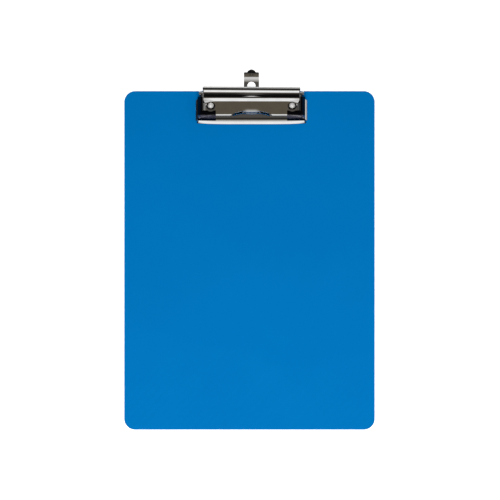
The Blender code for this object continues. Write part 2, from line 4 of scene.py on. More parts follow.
import bmesh
import bpy
import numpy as np
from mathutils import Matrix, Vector


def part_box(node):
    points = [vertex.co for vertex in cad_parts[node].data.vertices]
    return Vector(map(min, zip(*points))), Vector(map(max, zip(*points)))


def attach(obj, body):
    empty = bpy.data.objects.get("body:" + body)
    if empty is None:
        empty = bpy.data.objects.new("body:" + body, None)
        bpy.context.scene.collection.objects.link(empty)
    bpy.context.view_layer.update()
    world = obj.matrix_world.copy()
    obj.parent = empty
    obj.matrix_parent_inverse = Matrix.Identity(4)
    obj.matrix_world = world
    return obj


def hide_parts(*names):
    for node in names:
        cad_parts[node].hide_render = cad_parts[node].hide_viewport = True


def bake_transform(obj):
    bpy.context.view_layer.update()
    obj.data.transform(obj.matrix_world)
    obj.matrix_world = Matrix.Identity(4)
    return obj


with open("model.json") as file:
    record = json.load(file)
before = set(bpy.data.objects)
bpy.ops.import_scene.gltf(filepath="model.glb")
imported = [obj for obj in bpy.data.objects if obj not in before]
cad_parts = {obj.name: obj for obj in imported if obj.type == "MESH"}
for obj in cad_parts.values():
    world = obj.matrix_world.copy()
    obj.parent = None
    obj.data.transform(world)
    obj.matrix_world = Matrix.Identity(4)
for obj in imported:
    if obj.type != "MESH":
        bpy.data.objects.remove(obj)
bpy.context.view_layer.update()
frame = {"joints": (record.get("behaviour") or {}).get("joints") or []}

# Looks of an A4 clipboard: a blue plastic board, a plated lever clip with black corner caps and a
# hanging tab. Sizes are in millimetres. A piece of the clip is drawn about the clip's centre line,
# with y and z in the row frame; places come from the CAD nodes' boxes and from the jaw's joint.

MM = 0.001


def node_box(node, centre_x=0.0):
    """A CAD node's lowest and highest corner in millimetres, with x measured from a centre line."""
    low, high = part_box(node)
    shift = np.array((centre_x, 0.0, 0.0))
    return np.array(low) / MM - shift, np.array(high) / MM - shift


hinge = next(joint for joint in frame["joints"] if joint["type"] == "hinge")
CLIP_X, PIVOT_Y, PIVOT_Z = (value / MM for value in hinge["pos_m"])

BOARD_LOW, BOARD_HIGH = node_box("board")
BASE_LOW, BASE_HIGH = node_box("base_plate", CLIP_X)
JAW_LOW, JAW_HIGH = node_box("jaw", CLIP_X)
CAP_LOW, CAP_HIGH = node_box("corner_cap_right", CLIP_X)
ROD_LOW, ROD_HIGH = node_box("pivot_rod", CLIP_X)
RIVET_LOW, RIVET_HIGH = node_box("rivet_right", CLIP_X)
WASHER_LOW, WASHER_HIGH = node_box("washer_right", CLIP_X)
SPRING_LOW, SPRING_HIGH = node_box("spring_right", CLIP_X)
TAB_LOW, TAB_HIGH = node_box("hanging_tab", CLIP_X)

SHEET = 0.7
GAP = 0.3
OVERLAP = 0.1
PAST = 1.0
FAR = 10.0

# Board
BOARD_CORNER = 10.0
BOARD_RIM = 0.85
BOARD_RIM_TURNS = (15, 30, 45, 60, 75, 90)
BOARD_CORNER_STEPS = 15
BOARD_STEP = 1.0
PLAIN_STEP = 4.5
RIB_PITCH = 6.0
RIB_HEIGHT = 0.12
RIB_SLOPE = 47.0
RIB_FULL_Y = BOARD_LOW[1] + 28.0
RIB_EDGE_FADE = 2.0
RIB_TOP_X = (-114.0, -81.0, -60.0, -35.0, 0.0, 20.0, 50.0, 70.0, 114.0)
RIB_TOP_Y = (-58.0, -61.0, -72.0, -77.0, -79.0, -94.0, -97.0, -86.0, -84.0)
RECESS_RADIUS = 5.2
RECESS_DEPTH = 1.1
RIVET_HOLE = 1.9

# Base plate
RIVET_RISE = 1.7
FLOOR_TOP = RIVET_HIGH[2] - RIVET_RISE - GAP
FLOOR_HALF = 48.75
FLOOR_REAR_HALF = 46.4
FLOOR_FRONT_Y = BASE_LOW[1] + 4.3
FLOOR_REAR_Y = 153.5
FLOOR_COLUMNS = 99
FLOOR_GRID_Y = ((132.2, 13), (133.0, 16))
FLOOR_TAPER_Y = (148.3, 149.0, 149.6, 151.0, 152.3)
FLOOR_TAPER_END_Y = 149.6
FRONT_ROLL_STEPS = 12
FRONT_ROLL_TILTS = (11.0, 24.5)
FRONT_BEAD = 0.10
FRONT_BEAD_FADE = (0.3, 1.9)
FRONT_FOOT = 0.05
FRONT_INSET = 0.1
FRONT_EDGE_HALF = BASE_HIGH[0] - 0.9
FRONT_EDGE_BOW = 1.0
FRONT_BOW_POWER = 5
SIDE_FOLD_Y = (129.2, 147.6)
SIDE_EDGE_Y = (127.3, 146.0)
SIDE_DROP = 1.4
SIDE_FOLD_TILTS = (24.0, 48.0)
SIDE_FOLD_STEPS = 7
BASE_EDGE_BEVEL = 0.12
EAR_INSIDE = 45.6
EAR_THICKNESS = 0.8
EAR_RADIUS = 2.6
EAR_STEPS = 28
PIVOT_BORE = 1.3
BOSS_RADIUS = 4.0
GROOVE_RADII = (2.6, 3.4, 4.2)
GROOVE_DEPTH = 0.9
GROOVE_CLEAR = 0.2
GUIDE_X = (7.2, 8.2)
GUIDE_Y = (149.0, 153.3)
LEG_SLOT_Y = (144.8, 148.1)
LEG_SLOT_HALF = 0.95

# Jaw
JAW_HALF = JAW_HIGH[0]
JAW_FRONT_Y = JAW_LOW[1]
LIP_FOOT_Z = 4.9
LIP_TILT = 86.0
LIP_RADII = (0.7, 4.2)
LIP_RADIUS_TILTS = (30.0, 42.0)
LIP_STEPS = 18
LIP_FIT_ROUNDS = 20
LIP_REAR_ROWS = 16
LIP_DROP_ROWS = 6
LIP_DROP_SHARE = 0.98
FLARE_HEIGHT = 0.7
FLARE_PARTS = (0.0, 0.45, 0.85)
SLOPE_PARTS = (0.1, 0.4, 0.75)
JAW_COLUMNS = 141
PLATE_Z = 8.5
PLATE_Y = 133.7
PLATE_TILT = 11.0
PLATE_GRID_Y = (140.2, 144.4, 8)
JAW_TILTS = (
    (133.7, 11.0), (144.9, 11.0), (145.6, 24.0), (147.6, 27.0), (148.6, 0.0), (149.6, -14.0),
    (150.8, -6.0), (151.6, -4.2), (152.4, -5.5), (152.9, 4.0), (153.8, 22.0), (155.0, 27.0),
    (155.6, 4.0), (157.5, -18.0),
)
PROFILE_STEP = 0.02
PROFILE_SPACING = 0.2
RIM_RADIUS = 1.9
RIM_STEPS = 14
SIDE_WIDTHS = (2.6, 0.7)
SIDE_TILT = 14.0
SIDE_EDGE_SHARE = 0.84
SIDE_EDGE_DROP = 0.45
SIDE_EDGE_TURNS = (25.0, 45.0, 62.0, 76.0, 90.0)
SIDE_SLOPE_START = 0.2
RIM_SKEW = 0.007
RIM_SKEW_Y = (144.0, 152.0)
SIDE_ROLL_CHANGE_Y = (144.0, 147.5)
SIDE_ROLL_END_Y = (153.8, 156.2)
ARCH_X = (0.0, 4.8, 7.8, 16.0, 17.1, 17.9, 18.3)
ARCH_RISE = (3.9, 3.95, 4.35, 2.6, 1.5, 0.4, 0.0)
ARCH_SOFTENING = 4
ARCH_STEEP_RISE = 1.2
ARCH_BENDS = (7.8, 17.3)
ARCH_BEND_PLACES = (-0.45, -0.15, 0.15, 0.45)
ARCH_LIP_TILTS = (58.4, 60.5)
ARCH_SLANTS = (5.0, 8.0)
ARCH_FLARE_TILT = 44.0
ARCH_LIP_RADIUS = 0.55
ARCH_FOOT_RISE = 0.3
CROWN_X = (3.5, 9.5)
CROWN_REAR_Y = 139.1
CROWN_CURVE = 0.034
VALLEY_DIP = 0.16
VALLEY_DIP_HALF = 8.5
VALLEY_DIP_Y = (149.2, 150.9)
VALLEY_END_Y = (151.2, 153.5)
END_PULL = 1.3
END_PULL_X = (31.0, 43.0)
END_PULL_Y = (140.5, 144.6)
END_PULL_END_Y = (145.4, 148.2)
ACCESS_RADIUS = 4.35
ACCESS_Y = 140.2
RIVET_X = (RIVET_LOW[0] + RIVET_HIGH[0]) / 2
RIVET_Y = (RIVET_LOW[1] + RIVET_HIGH[1]) / 2
FLANGE_FOOT_Z = 5.0
FLANGE_SET_BACK = 2.0
FLANGE_SINK = 0.01
FLANGE_LOBE = 2.6
FLANGE_FRONT_END = 149.6
FLANGE_REAR_END = 156.4

# Corner caps
CAP_CROWN_X = 46.2
CAP_CROWN_Y = (131.2, 129.6)
CAP_CORNER_BACK = 0.2
CAP_FOOT_Z = CAP_LOW[2]
CAP_TONGUE_Y = 136.5
CAP_SKIN = 0.80
CAP_RADII = {"front": 2.8, "side": 1.1, "corner": 2.0, "other": 0.3, "foot": 0.1}
CAP_BEVEL_STEPS = 8
CAP_HOLLOW_SLANT = 0.6

# Pivot rod, rivets and washers
ROD_RADIUS = 1.2
ROD_HEAD = 1.2
ROD_HEAD_ROUND = 0.35
ROD_HEAD_CROWN = (0.55, 0.04)
ROD_HEAD_SET = 0.4
ROD_HEAD_EDGE = 0.1
ROD_SHANK_ROW = 8.0
RIVET_BRIM = 0.25
RIVET_TAIL = ((1.6, 0.55), (2.45, 0.55), (2.6, 0.42), (2.6, 0.22), (2.42, 0.1), (0.0, 0.1))
WASHER_HOLE = 1.75
SOFT_EDGE = 0.08

# Springs
COIL_TURNS = 4
COIL_PITCH = 1.15
COIL_RADIUS = 2.15
WIRE_RADIUS = 0.5
COIL_STEPS = 28
BEND_STEPS = 5
HOOK = ((-3.1, 0.0), (-1.6, 0.0), (-0.9, 0.35), (-0.5, 1.1))
HOOK_END = 0.3
FRONT_LEG_SLOPE = 45.0
REAR_LEG_SLOPE = 14.0
REAR_LEG_END_Y = 156.3
SPRING_X = (SPRING_LOW[0] + SPRING_HIGH[0]) / 2
LEG_X = SPRING_X - COIL_PITCH * COIL_TURNS / 2

# Hanging tab
TAB_THICKNESS = 0.6
TAB_LEVEL = 2.95
TAB_TILTS = (
    (162.6, 0.0), (163.0, 14.5), (165.5, 18.5), (167.0, 21.0), (167.9, 12.5), (169.2, 12.0),
    (170.4, 6.0), (171.2, -13.0), (176.0, -15.0),
)
TAB_FLAT_GRID_Y = (139.5, 162.4, 24)
TAB_RAMP_GRID_Y = (162.6, 175.6, 0.15)
TAB_COLUMNS = 101
TAB_TOP_CLEAR = 0.02
TAB_HALF = 6.9
TAB_CORNER = 0.6
TAB_SHOULDER_Y = 143.5
TAB_END_Y = 171.8
NUB_HALF = 4.0
DIMPLE_Y = 169.6
DIMPLE_SIZE = (1.9, 1.35)
DIMPLE_DEPTH = 0.10
DIMPLE_EDGE = 0.35
TAB_HOLE_RADIUS = 3.8
TAB_HOLE_Y = 159.35


# ---------------------------------------------------------------- mesh tools


def smoothstep(value, low=0.0, high=1.0):
    share = np.clip((value - low) / (high - low), 0.0, 1.0)
    return share * share * (3.0 - 2.0 * share)


def arc(centre, radius, start, end, steps):
    """Points along an arc in a plane, with angles in degrees."""
    angles = np.radians(np.linspace(start, end, steps + 1))
    return [(centre[0] + radius * math.cos(a), centre[1] + radius * math.sin(a)) for a in angles]


def grid_quads(rows, cols, first=0):
    """Faces of a grid of vertices counted row by row; +x along a row and +y up give +z."""
    index = first + np.arange(rows * cols).reshape(rows, cols)
    quads = np.stack(
        (index[:-1, :-1], index[:-1, 1:], index[1:, 1:], index[1:, :-1]), axis=-1
    )
    return quads.reshape(-1, 4).tolist()


def border(rows, cols):
    """Row and column of each border vertex, anticlockwise from the first row's start."""
    loop = [(0, col) for col in range(cols)]
    loop += [(row, cols - 1) for row in range(1, rows)]
    loop += [(rows - 1, col) for col in range(cols - 2, -1, -1)]
    loop += [(row, 0) for row in range(rows - 2, 0, -1)]
    return np.array(loop)


def ring_quads(rings, count):
    """Faces between successive closed rings, each a list of vertex indices."""
    faces = []
    for upper, lower in zip(rings, rings[1:]):
        for i in range(count):
            j = (i + 1) % count
            faces.append((upper[i], lower[i], lower[j], upper[j]))
    return faces


def new_object(name, vertices, faces, centre_x=CLIP_X):
    points = (np.asarray(vertices, float) + (centre_x, 0.0, 0.0)) * MM
    mesh = bpy.data.meshes.new(name)
    mesh.from_pydata(points.tolist(), [], faces)
    mesh.update()
    item = bpy.data.objects.new(name, mesh)
    bpy.context.scene.collection.objects.link(item)
    return item


def flatten(item):
    """Bakes an object's modifiers into its mesh."""
    graph = bpy.context.evaluated_depsgraph_get()
    mesh = bpy.data.meshes.new_from_object(item.evaluated_get(graph))
    item.modifiers.clear()
    item.data = mesh
    return item


def combine(item, other, operation="DIFFERENCE"):
    boolean = item.modifiers.new("combine", "BOOLEAN")
    boolean.operation = operation
    boolean.solver = "MANIFOLD"
    boolean.object = other
    flatten(item)
    bpy.data.objects.remove(other, do_unlink=True)
    return item


def bevel(item, width, segments=3, angle=40.0):
    edges = item.modifiers.new("bevel", "BEVEL")
    edges.width = width * MM
    edges.segments = segments
    edges.limit_method = "ANGLE"
    edges.angle_limit = math.radians(angle)
    return flatten(item)


def sheet_metal(name, outer, thickness, steps=3, fullness=0.35):
    """A closed sheet with softly rounded edges under a grid of points of its outer surface."""
    rows, cols = outer.shape[:2]
    normal = np.cross(np.gradient(outer, axis=1), np.gradient(outer, axis=0))
    normal /= np.linalg.norm(normal, axis=2, keepdims=True)
    inner = outer - normal * thickness
    loop = border(rows, cols)
    inward = np.clip(loop, 1, (rows - 2, cols - 2))
    edge = outer[loop[:, 0], loop[:, 1]]
    out = edge - outer[inward[:, 0], inward[:, 1]]
    out /= np.linalg.norm(out, axis=1, keepdims=True)
    under = inner[loop[:, 0], loop[:, 1]]
    count = len(loop)
    vertices = [outer.reshape(-1, 3), inner.reshape(-1, 3)]
    rings = [(loop[:, 0] * cols + loop[:, 1]).tolist()]
    first = 2 * rows * cols
    for k in range(1, steps + 1):
        turn = math.pi * k / (steps + 1)
        ring = edge + (under - edge) * (1.0 - math.cos(turn)) / 2.0
        vertices.append(ring + out * thickness * fullness * math.sin(turn))
        rings.append(list(range(first, first + count)))
        first += count
    rings.append((rows * cols + loop[:, 0] * cols + loop[:, 1]).tolist())
    faces = grid_quads(rows, cols)
    faces += [face[::-1] for face in grid_quads(rows, cols, rows * cols)]
    faces += ring_quads(rings, count)
    return new_object(name, np.concatenate(vertices), faces)


def prism(name, outline, low, high, along_x=False):
    """A plate from an outline in (x, y) extruded along z, or in (y, z) extruded along x."""
    outline = np.array(outline, float)
    ends = []
    for level in (low, high):
        column = np.full((len(outline), 1), level)
        ends.append(np.hstack((column, outline) if along_x else (outline, column)))
    count = len(outline)
    vertices = np.concatenate(ends)
    faces = [tuple(range(count))[::-1], tuple(range(count, 2 * count))]
    for i in range(count):
        j = (i + 1) % count
        faces.append((i, j, count + j, count + i))
    item = new_object(name, vertices, faces)
    bm = bmesh.new()
    bm.from_mesh(item.data)
    bmesh.ops.recalc_face_normals(bm, faces=bm.faces)
    bm.to_mesh(item.data)
    bm.free()
    return item


def block(name, low, high):
    outline = [(low[0], low[1]), (high[0], low[1]), (high[0], high[1]), (low[0], high[1])]
    return prism(name, outline, low[2], high[2])


def disc(name, centre, radius, low, high, along_x=False, steps=64):
    return prism(name, arc(centre, radius, 0.0, 360.0, steps)[:-1], low, high, along_x)


def turned(name, profile, centre, along_x=False, steps=64, ring=False):
    """A turned piece from (radius, height) points, from its top down its outer side.

    The two ends lie on the axis, unless the profile is a closed ring.
    """
    vertices = []
    rows = []
    for radius, height in profile:
        if radius < 1e-6:
            rows.append([len(vertices)] * steps)
            vertices.append((0.0, 0.0, height))
            continue
        rows.append(list(range(len(vertices), len(vertices) + steps)))
        for i in range(steps):
            angle = 2.0 * math.pi * i / steps
            vertices.append((radius * math.cos(angle), radius * math.sin(angle), height))
    if ring:
        rows.append(rows[0])
    faces = []
    for upper, lower in zip(rows, rows[1:]):
        for i in range(steps):
            j = (i + 1) % steps
            corners = (upper[i], lower[i], lower[j], upper[j])
            faces.append(tuple(dict.fromkeys(corners)))
    points = np.array(vertices, float)
    if along_x:
        points = points[:, [2, 0, 1]] + (0.0, centre[0], centre[1])
    else:
        points = points + (centre[0], centre[1], 0.0)
    return new_object(name, points, faces)


def wire(name, path, radius, sides=12):
    """A round wire along a path, with slightly rounded ends."""
    path = np.array(path, float)
    tangent = np.gradient(path, axis=0)
    tangent /= np.linalg.norm(tangent, axis=1, keepdims=True)
    side = np.cross(tangent[0], (0.0, 0.0, 1.0))
    side /= np.linalg.norm(side)
    rings = []
    for point, direction in zip(path, tangent):
        side = side - direction * np.dot(side, direction)
        side /= np.linalg.norm(side)
        other = np.cross(direction, side)
        angles = np.arange(sides) * 2.0 * math.pi / sides
        rings.append((point, direction, np.cos(angles)[:, None] * side + np.sin(angles)[:, None] * other))
    spots = [(rings[0], -0.5, 0.6), (rings[0], -0.3, 0.88)]
    spots += [(ring, 0.0, 1.0) for ring in rings]
    spots += [(rings[-1], 0.3, 0.88), (rings[-1], 0.5, 0.6)]
    vertices = [point + direction * push * radius + circle * radius * share
                for (point, direction, circle), push, share in spots]
    count = len(vertices)
    index = [list(range(k * sides, (k + 1) * sides)) for k in range(count)]
    faces = [tuple(face[::-1]) for face in ring_quads(index, sides)]
    faces += [tuple(index[0])[::-1], tuple(index[-1])]
    return new_object(name, np.concatenate(vertices), faces)


# ---------------------------------------------------------------- materials


CHROME = (0.56, 0.555, 0.545)
# Painted highlight on the corner caps: a band across the crown's front edge, placed by object y in metres,
# with raised specular level and lighter colour
PAINTED_HIGHLIGHT_LEVELS = (0.03, 1.0)
PAINTED_HIGHLIGHT_FROM_Y = (0.1294, 0.1306)
PAINTED_HIGHLIGHT_TO_Y = (0.1318, 0.1330)


class Shader:
    """A material's node tree with the few node types that these finishes need."""

    def __init__(self, name):
        self.material = bpy.data.materials.new(name)
        self.material.use_nodes = True
        self.tree = self.material.node_tree
        self.principled = self.tree.nodes["Principled BSDF"]
        self.place = self.tree.nodes.new("ShaderNodeTexCoord").outputs["Object"]

    def fill(self, node, values):
        """Sets a node's inputs, each named in lower case with underscores."""
        for name, value in values.items():
            node.inputs[name.replace("_", " ").title().replace("Ior", "IOR")].default_value = value
        return node

    def node(self, kind, **values):
        return self.fill(self.tree.nodes.new("ShaderNode" + kind), values)

    def set(self, **values):
        self.fill(self.principled, values)

    def link(self, output, socket):
        self.tree.links.new(output, socket)

    def noise(self, scale, detail=3.0, roughness=0.5, stretch=None, turn=0.0):
        """Noise with about one feature per 1/scale metres; stretch squeezes it along an axis."""
        texture = self.node("TexNoise", scale=scale, detail=detail, roughness=roughness)
        place = self.place
        if stretch:
            mapping = self.node("Mapping", scale=stretch, rotation=(0.0, 0.0, math.radians(turn)))
            self.link(place, mapping.inputs["Vector"])
            place = mapping.outputs["Vector"]
        self.link(place, texture.inputs["Vector"])
        return texture.outputs["Fac"]

    def spread(self, value, low, high, start=0.3, end=0.7):
        """Turns noise into values between two limits."""
        node = self.node("MapRange", from_min=start, from_max=end, to_min=low, to_max=high)
        self.link(value, node.inputs["Value"])
        return node.outputs["Result"]

    def math(self, operation, first, second):
        node = self.node("Math")
        node.operation = operation
        self.link(first, node.inputs[0])
        self.link(second, node.inputs[1])
        return node.outputs["Value"]

    def ramp(self, value, stops):
        node = self.node("ValToRGB")
        elements = node.color_ramp.elements
        for spare in list(elements)[len(stops):]:
            elements.remove(spare)
        while len(elements) < len(stops):
            elements.new(1.0)
        for element, (place, colour) in zip(elements, stops):
            element.position = place
            element.color = (*colour, 1.0)
        self.link(value, node.inputs["Fac"])
        return node.outputs["Color"]

    def bump(self, layers):
        """Stacks bump layers, each a height value and its depth in millimetres."""
        normal = None
        for height, depth in layers:
            node = self.node("Bump", distance=depth * MM, strength=1.0)
            self.link(height, node.inputs["Height"])
            if normal:
                self.link(normal, node.inputs["Normal"])
            normal = node.outputs["Normal"]
        self.link(normal, self.principled.inputs["Normal"])


def blue_plastic():
    shader = Shader("blue_polypropylene")
    shader.set(base_color=(0.0, 0.146, 0.425, 1.0), roughness=0.42, specular_ior_level=0.28)
    shader.set(specular_tint=(0.05, 0.6, 1.0, 1.0))
    tone = shader.noise(9.0, detail=4.0)
    stops = ((0.3, (0.0, 0.142, 0.417)), (0.7, (0.0, 0.150, 0.433)))
    shader.link(shader.ramp(tone, stops), shader.principled.inputs["Base Color"])
    patches = shader.noise(60.0, detail=5.0)
    shader.link(shader.spread(patches, 0.36, 0.48), shader.principled.inputs["Roughness"])
    grain = shader.noise(1400.0, detail=2.0)
    flow = shader.noise(22.0, detail=2.0)
    rub = shader.noise(40.0, detail=3.0, stretch=(0.6, 26.0, 1.0), turn=12.0)
    shader.bump(((flow, 0.25), (rub, 0.01), (grain, 0.012)))
    return shader.material


def plated_steel(name, colour, smooth_limits, wave, scratch, metallic=1.0):
    """Bright nickel plating: faint waves of the pressed sheet, fine rubbing marks and small pits."""
    shader = Shader(name)
    shader.set(metallic=metallic, base_color=(*colour, 1.0), roughness=sum(smooth_limits) / 2)
    worn = shader.noise(120.0, detail=4.0)
    dull = tuple(value * 0.93 for value in colour)
    stops = ((0.35, dull), (0.65, colour))
    shader.link(shader.ramp(worn, stops), shader.principled.inputs["Base Color"])
    smudge = shader.noise(75.0, detail=5.0, roughness=0.6)
    shader.link(shader.spread(smudge, *smooth_limits), shader.principled.inputs["Roughness"])
    waves = shader.noise(55.0, detail=1.0)
    marks = shader.noise(50.0, detail=4.0, stretch=(1.0, 40.0, 40.0))
    pits = shader.noise(2600.0, detail=2.0)
    shader.bump(((waves, wave), (marks, scratch), (pits, 0.0006)))
    return shader.material


def black_plastic():
    """Black moulding with fine grain, and a painted highlight along the crowns' front edges: a band of
    raised specular level and lighter lilac colour.
    """
    shader = Shader("black_moulding")
    shader.set(base_color=(0.001, 0.001, 0.002, 1.0), roughness=0.10, ior=1.8)
    patches = shader.noise(160.0, detail=4.0)
    shader.link(shader.spread(patches, 0.08, 0.13), shader.principled.inputs["Roughness"])
    # Painted highlight band: the object's y picks out the crown's front edge, where the specular level
    # rises from 0.03 to 1.0
    split = shader.node("SeparateXYZ")
    shader.link(shader.place, split.inputs["Vector"])
    rise = shader.spread(split.outputs["Y"], *PAINTED_HIGHLIGHT_LEVELS, *PAINTED_HIGHLIGHT_FROM_Y)
    fall = shader.spread(split.outputs["Y"], *PAINTED_HIGHLIGHT_LEVELS[::-1], *PAINTED_HIGHLIGHT_TO_Y)
    painted_highlight = shader.math("MINIMUM", rise, fall)
    shader.link(painted_highlight, shader.principled.inputs["Specular IOR Level"])
    # Painted highlight: inside the band the base colour lightens to a lilac grey
    tone = shader.math("MULTIPLY", painted_highlight, shader.noise(300.0, detail=3.0))
    stops = (
        (0.04, (0.0008, 0.0008, 0.0018)),
        (0.08, (0.0014, 0.0014, 0.003)),
        (0.5, (0.05, 0.049, 0.078)),
    )
    shader.link(shader.ramp(tone, stops), shader.principled.inputs["Base Color"])
    grain = shader.noise(2200.0, detail=2.0)
    flow = shader.noise(160.0, detail=1.0)
    shader.bump(((flow, 0.012), (grain, 0.002)))
    return shader.material


finishes = {
    "board_plastic": blue_plastic(),
    "base_steel": plated_steel("base_nickel", CHROME, (0.05, 0.10), 0.02, 0.002),
    "jaw_steel": plated_steel("jaw_nickel", CHROME, (0.05, 0.10), 0.02, 0.002),
    "cap_plastic": black_plastic(),
    "rod_steel": plated_steel("rod_zinc", (0.50, 0.50, 0.50), (0.18, 0.30), 0.01, 0.004),
    "spring_steel": plated_steel("spring_wire", (0.42, 0.41, 0.40), (0.20, 0.32), 0.0, 0.004),
    "tab_steel": plated_steel("tab_nickel", CHROME, (0.09, 0.15), 0.012, 0.002),
    "rivet_steel": plated_steel("rivet_nickel", (0.90, 0.89, 0.87), (0.24, 0.32), 0.004, 0.001, 0.35),
}


def finish_piece(item, body, node, slot_name, angle=35.0):
    """Smooths a piece, gives it its slot's finish, and fixes it to its body in its node's place."""
    mesh = item.data
    mesh.materials.clear()
    mesh.materials.append(finishes[slot_name])
    mesh.shade_smooth()
    mesh.set_sharp_from_angle(angle=math.radians(angle))
    if body:
        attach(item, body)
    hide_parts(node)
    return item


# ---------------------------------------------------------------- board


def board_half_width(y, half_x, half_y, radius):
    over = np.maximum(np.abs(y) - (half_y - radius), 0.0)
    return half_x - radius + np.sqrt(np.maximum(radius**2 - over**2, 0.0))


def rib_relief(x, y, edge_distance):
    """Slanting embossed ribs, full at the foot and fading upwards to an uneven limit."""
    slope = math.radians(RIB_SLOPE)
    across = (y * math.cos(slope) - x * math.sin(slope)) / RIB_PITCH
    wave = 0.5 - 0.5 * np.cos(2.0 * math.pi * across)
    top = np.interp(x, RIB_TOP_X, RIB_TOP_Y)
    fade = smoothstep((top - y) / (top - RIB_FULL_Y))
    return RIB_HEIGHT * wave * fade * smoothstep(edge_distance, 0.0, RIB_EDGE_FADE)


def make_board():
    top_z = BOARD_HIGH[2]
    half_x = BOARD_HIGH[0] - BOARD_RIM
    half_y = BOARD_HIGH[1] - BOARD_RIM
    radius = BOARD_CORNER - BOARD_RIM
    turn = np.linspace(0.0, math.pi / 2, BOARD_CORNER_STEPS)
    corner = half_y - radius + radius * np.sin(turn)
    ribbed = np.arange(-corner[0], max(RIB_TOP_Y), BOARD_STEP)
    plain = np.arange(ribbed[-1] + PLAIN_STEP, corner[0] - BOARD_STEP, PLAIN_STEP)
    y = np.concatenate((-corner[:0:-1], ribbed, plain, corner))
    half = board_half_width(y, half_x, half_y, radius)
    share = np.linspace(-1.0, 1.0, int(2 * half_x / BOARD_STEP) + 1)
    x = half[:, None] * share[None, :]
    y = np.repeat(y[:, None], len(share), axis=1)
    edge_distance = np.minimum(half[:, None] - np.abs(x), half_y - np.abs(y))
    relief = rib_relief(x, y, edge_distance)
    sunk = RIB_HEIGHT / 2 * smoothstep(edge_distance, 0.0, RIB_EDGE_FADE)
    top = np.stack((x, y, top_z + relief - sunk), axis=-1)
    rows, cols = top.shape[:2]
    loop = border(rows, cols)
    edge = top[loop[:, 0], loop[:, 1]]
    core = np.array((half_x - radius, half_y - radius))
    out = np.zeros_like(edge)
    out[:, :2] = edge[:, :2] - np.clip(edge[:, :2], -core, core)
    out /= np.linalg.norm(out, axis=1, keepdims=True)
    count = len(loop)
    vertices = [top.reshape(-1, 3)]
    rings = [(loop[:, 0] * cols + loop[:, 1]).tolist()]
    first = rows * cols
    upper = [(BOARD_RIM * math.sin(a), top_z - BOARD_RIM * (1.0 - math.cos(a)))
             for a in np.radians(BOARD_RIM_TURNS)]
    lower = [(push, top_z - z) for push, z in upper[::-1]] + [(0.0, 0.0)]
    for push, z in upper + lower:
        ring = edge + out * push
        ring[:, 2] = z
        vertices.append(ring)
        rings.append(list(range(first, first + count)))
        first += count
    faces = grid_quads(rows, cols) + ring_quads(rings, count)
    faces.append(tuple(rings[-1][::-1]))
    board = new_object("board_panel", np.concatenate(vertices), faces, 0.0)
    for side in (-1, 1):
        centre = (side * RIVET_X, RIVET_Y)
        combine(board, disc("hole", centre, RIVET_HOLE, -PAST, top_z + PAST))
        combine(board, disc("recess", centre, RECESS_RADIUS, -PAST, RECESS_DEPTH))
    finish_piece(board, "board", "board", "board_plastic")


# ---------------------------------------------------------------- clip base


def front_roll():
    """The front edge in (y, z), from the floor's fold outwards: a convex roll that steepens early."""
    steps = FRONT_ROLL_STEPS
    share = (np.arange(steps) + 0.5) / steps
    start, end = FRONT_ROLL_TILTS
    tilts = np.radians(start + (end - start) * (1.0 - (1.0 - share) ** 2))
    width = FLOOR_FRONT_Y - BASE_LOW[1]
    drops = np.cumsum(np.tan(tilts)) * width / steps
    y = FLOOR_FRONT_Y - width * np.arange(1, steps + 1) / steps
    return y, FLOOR_TOP + FRONT_BEAD - drops * (SIDE_DROP + FRONT_FOOT + FRONT_BEAD) / drops[-1]


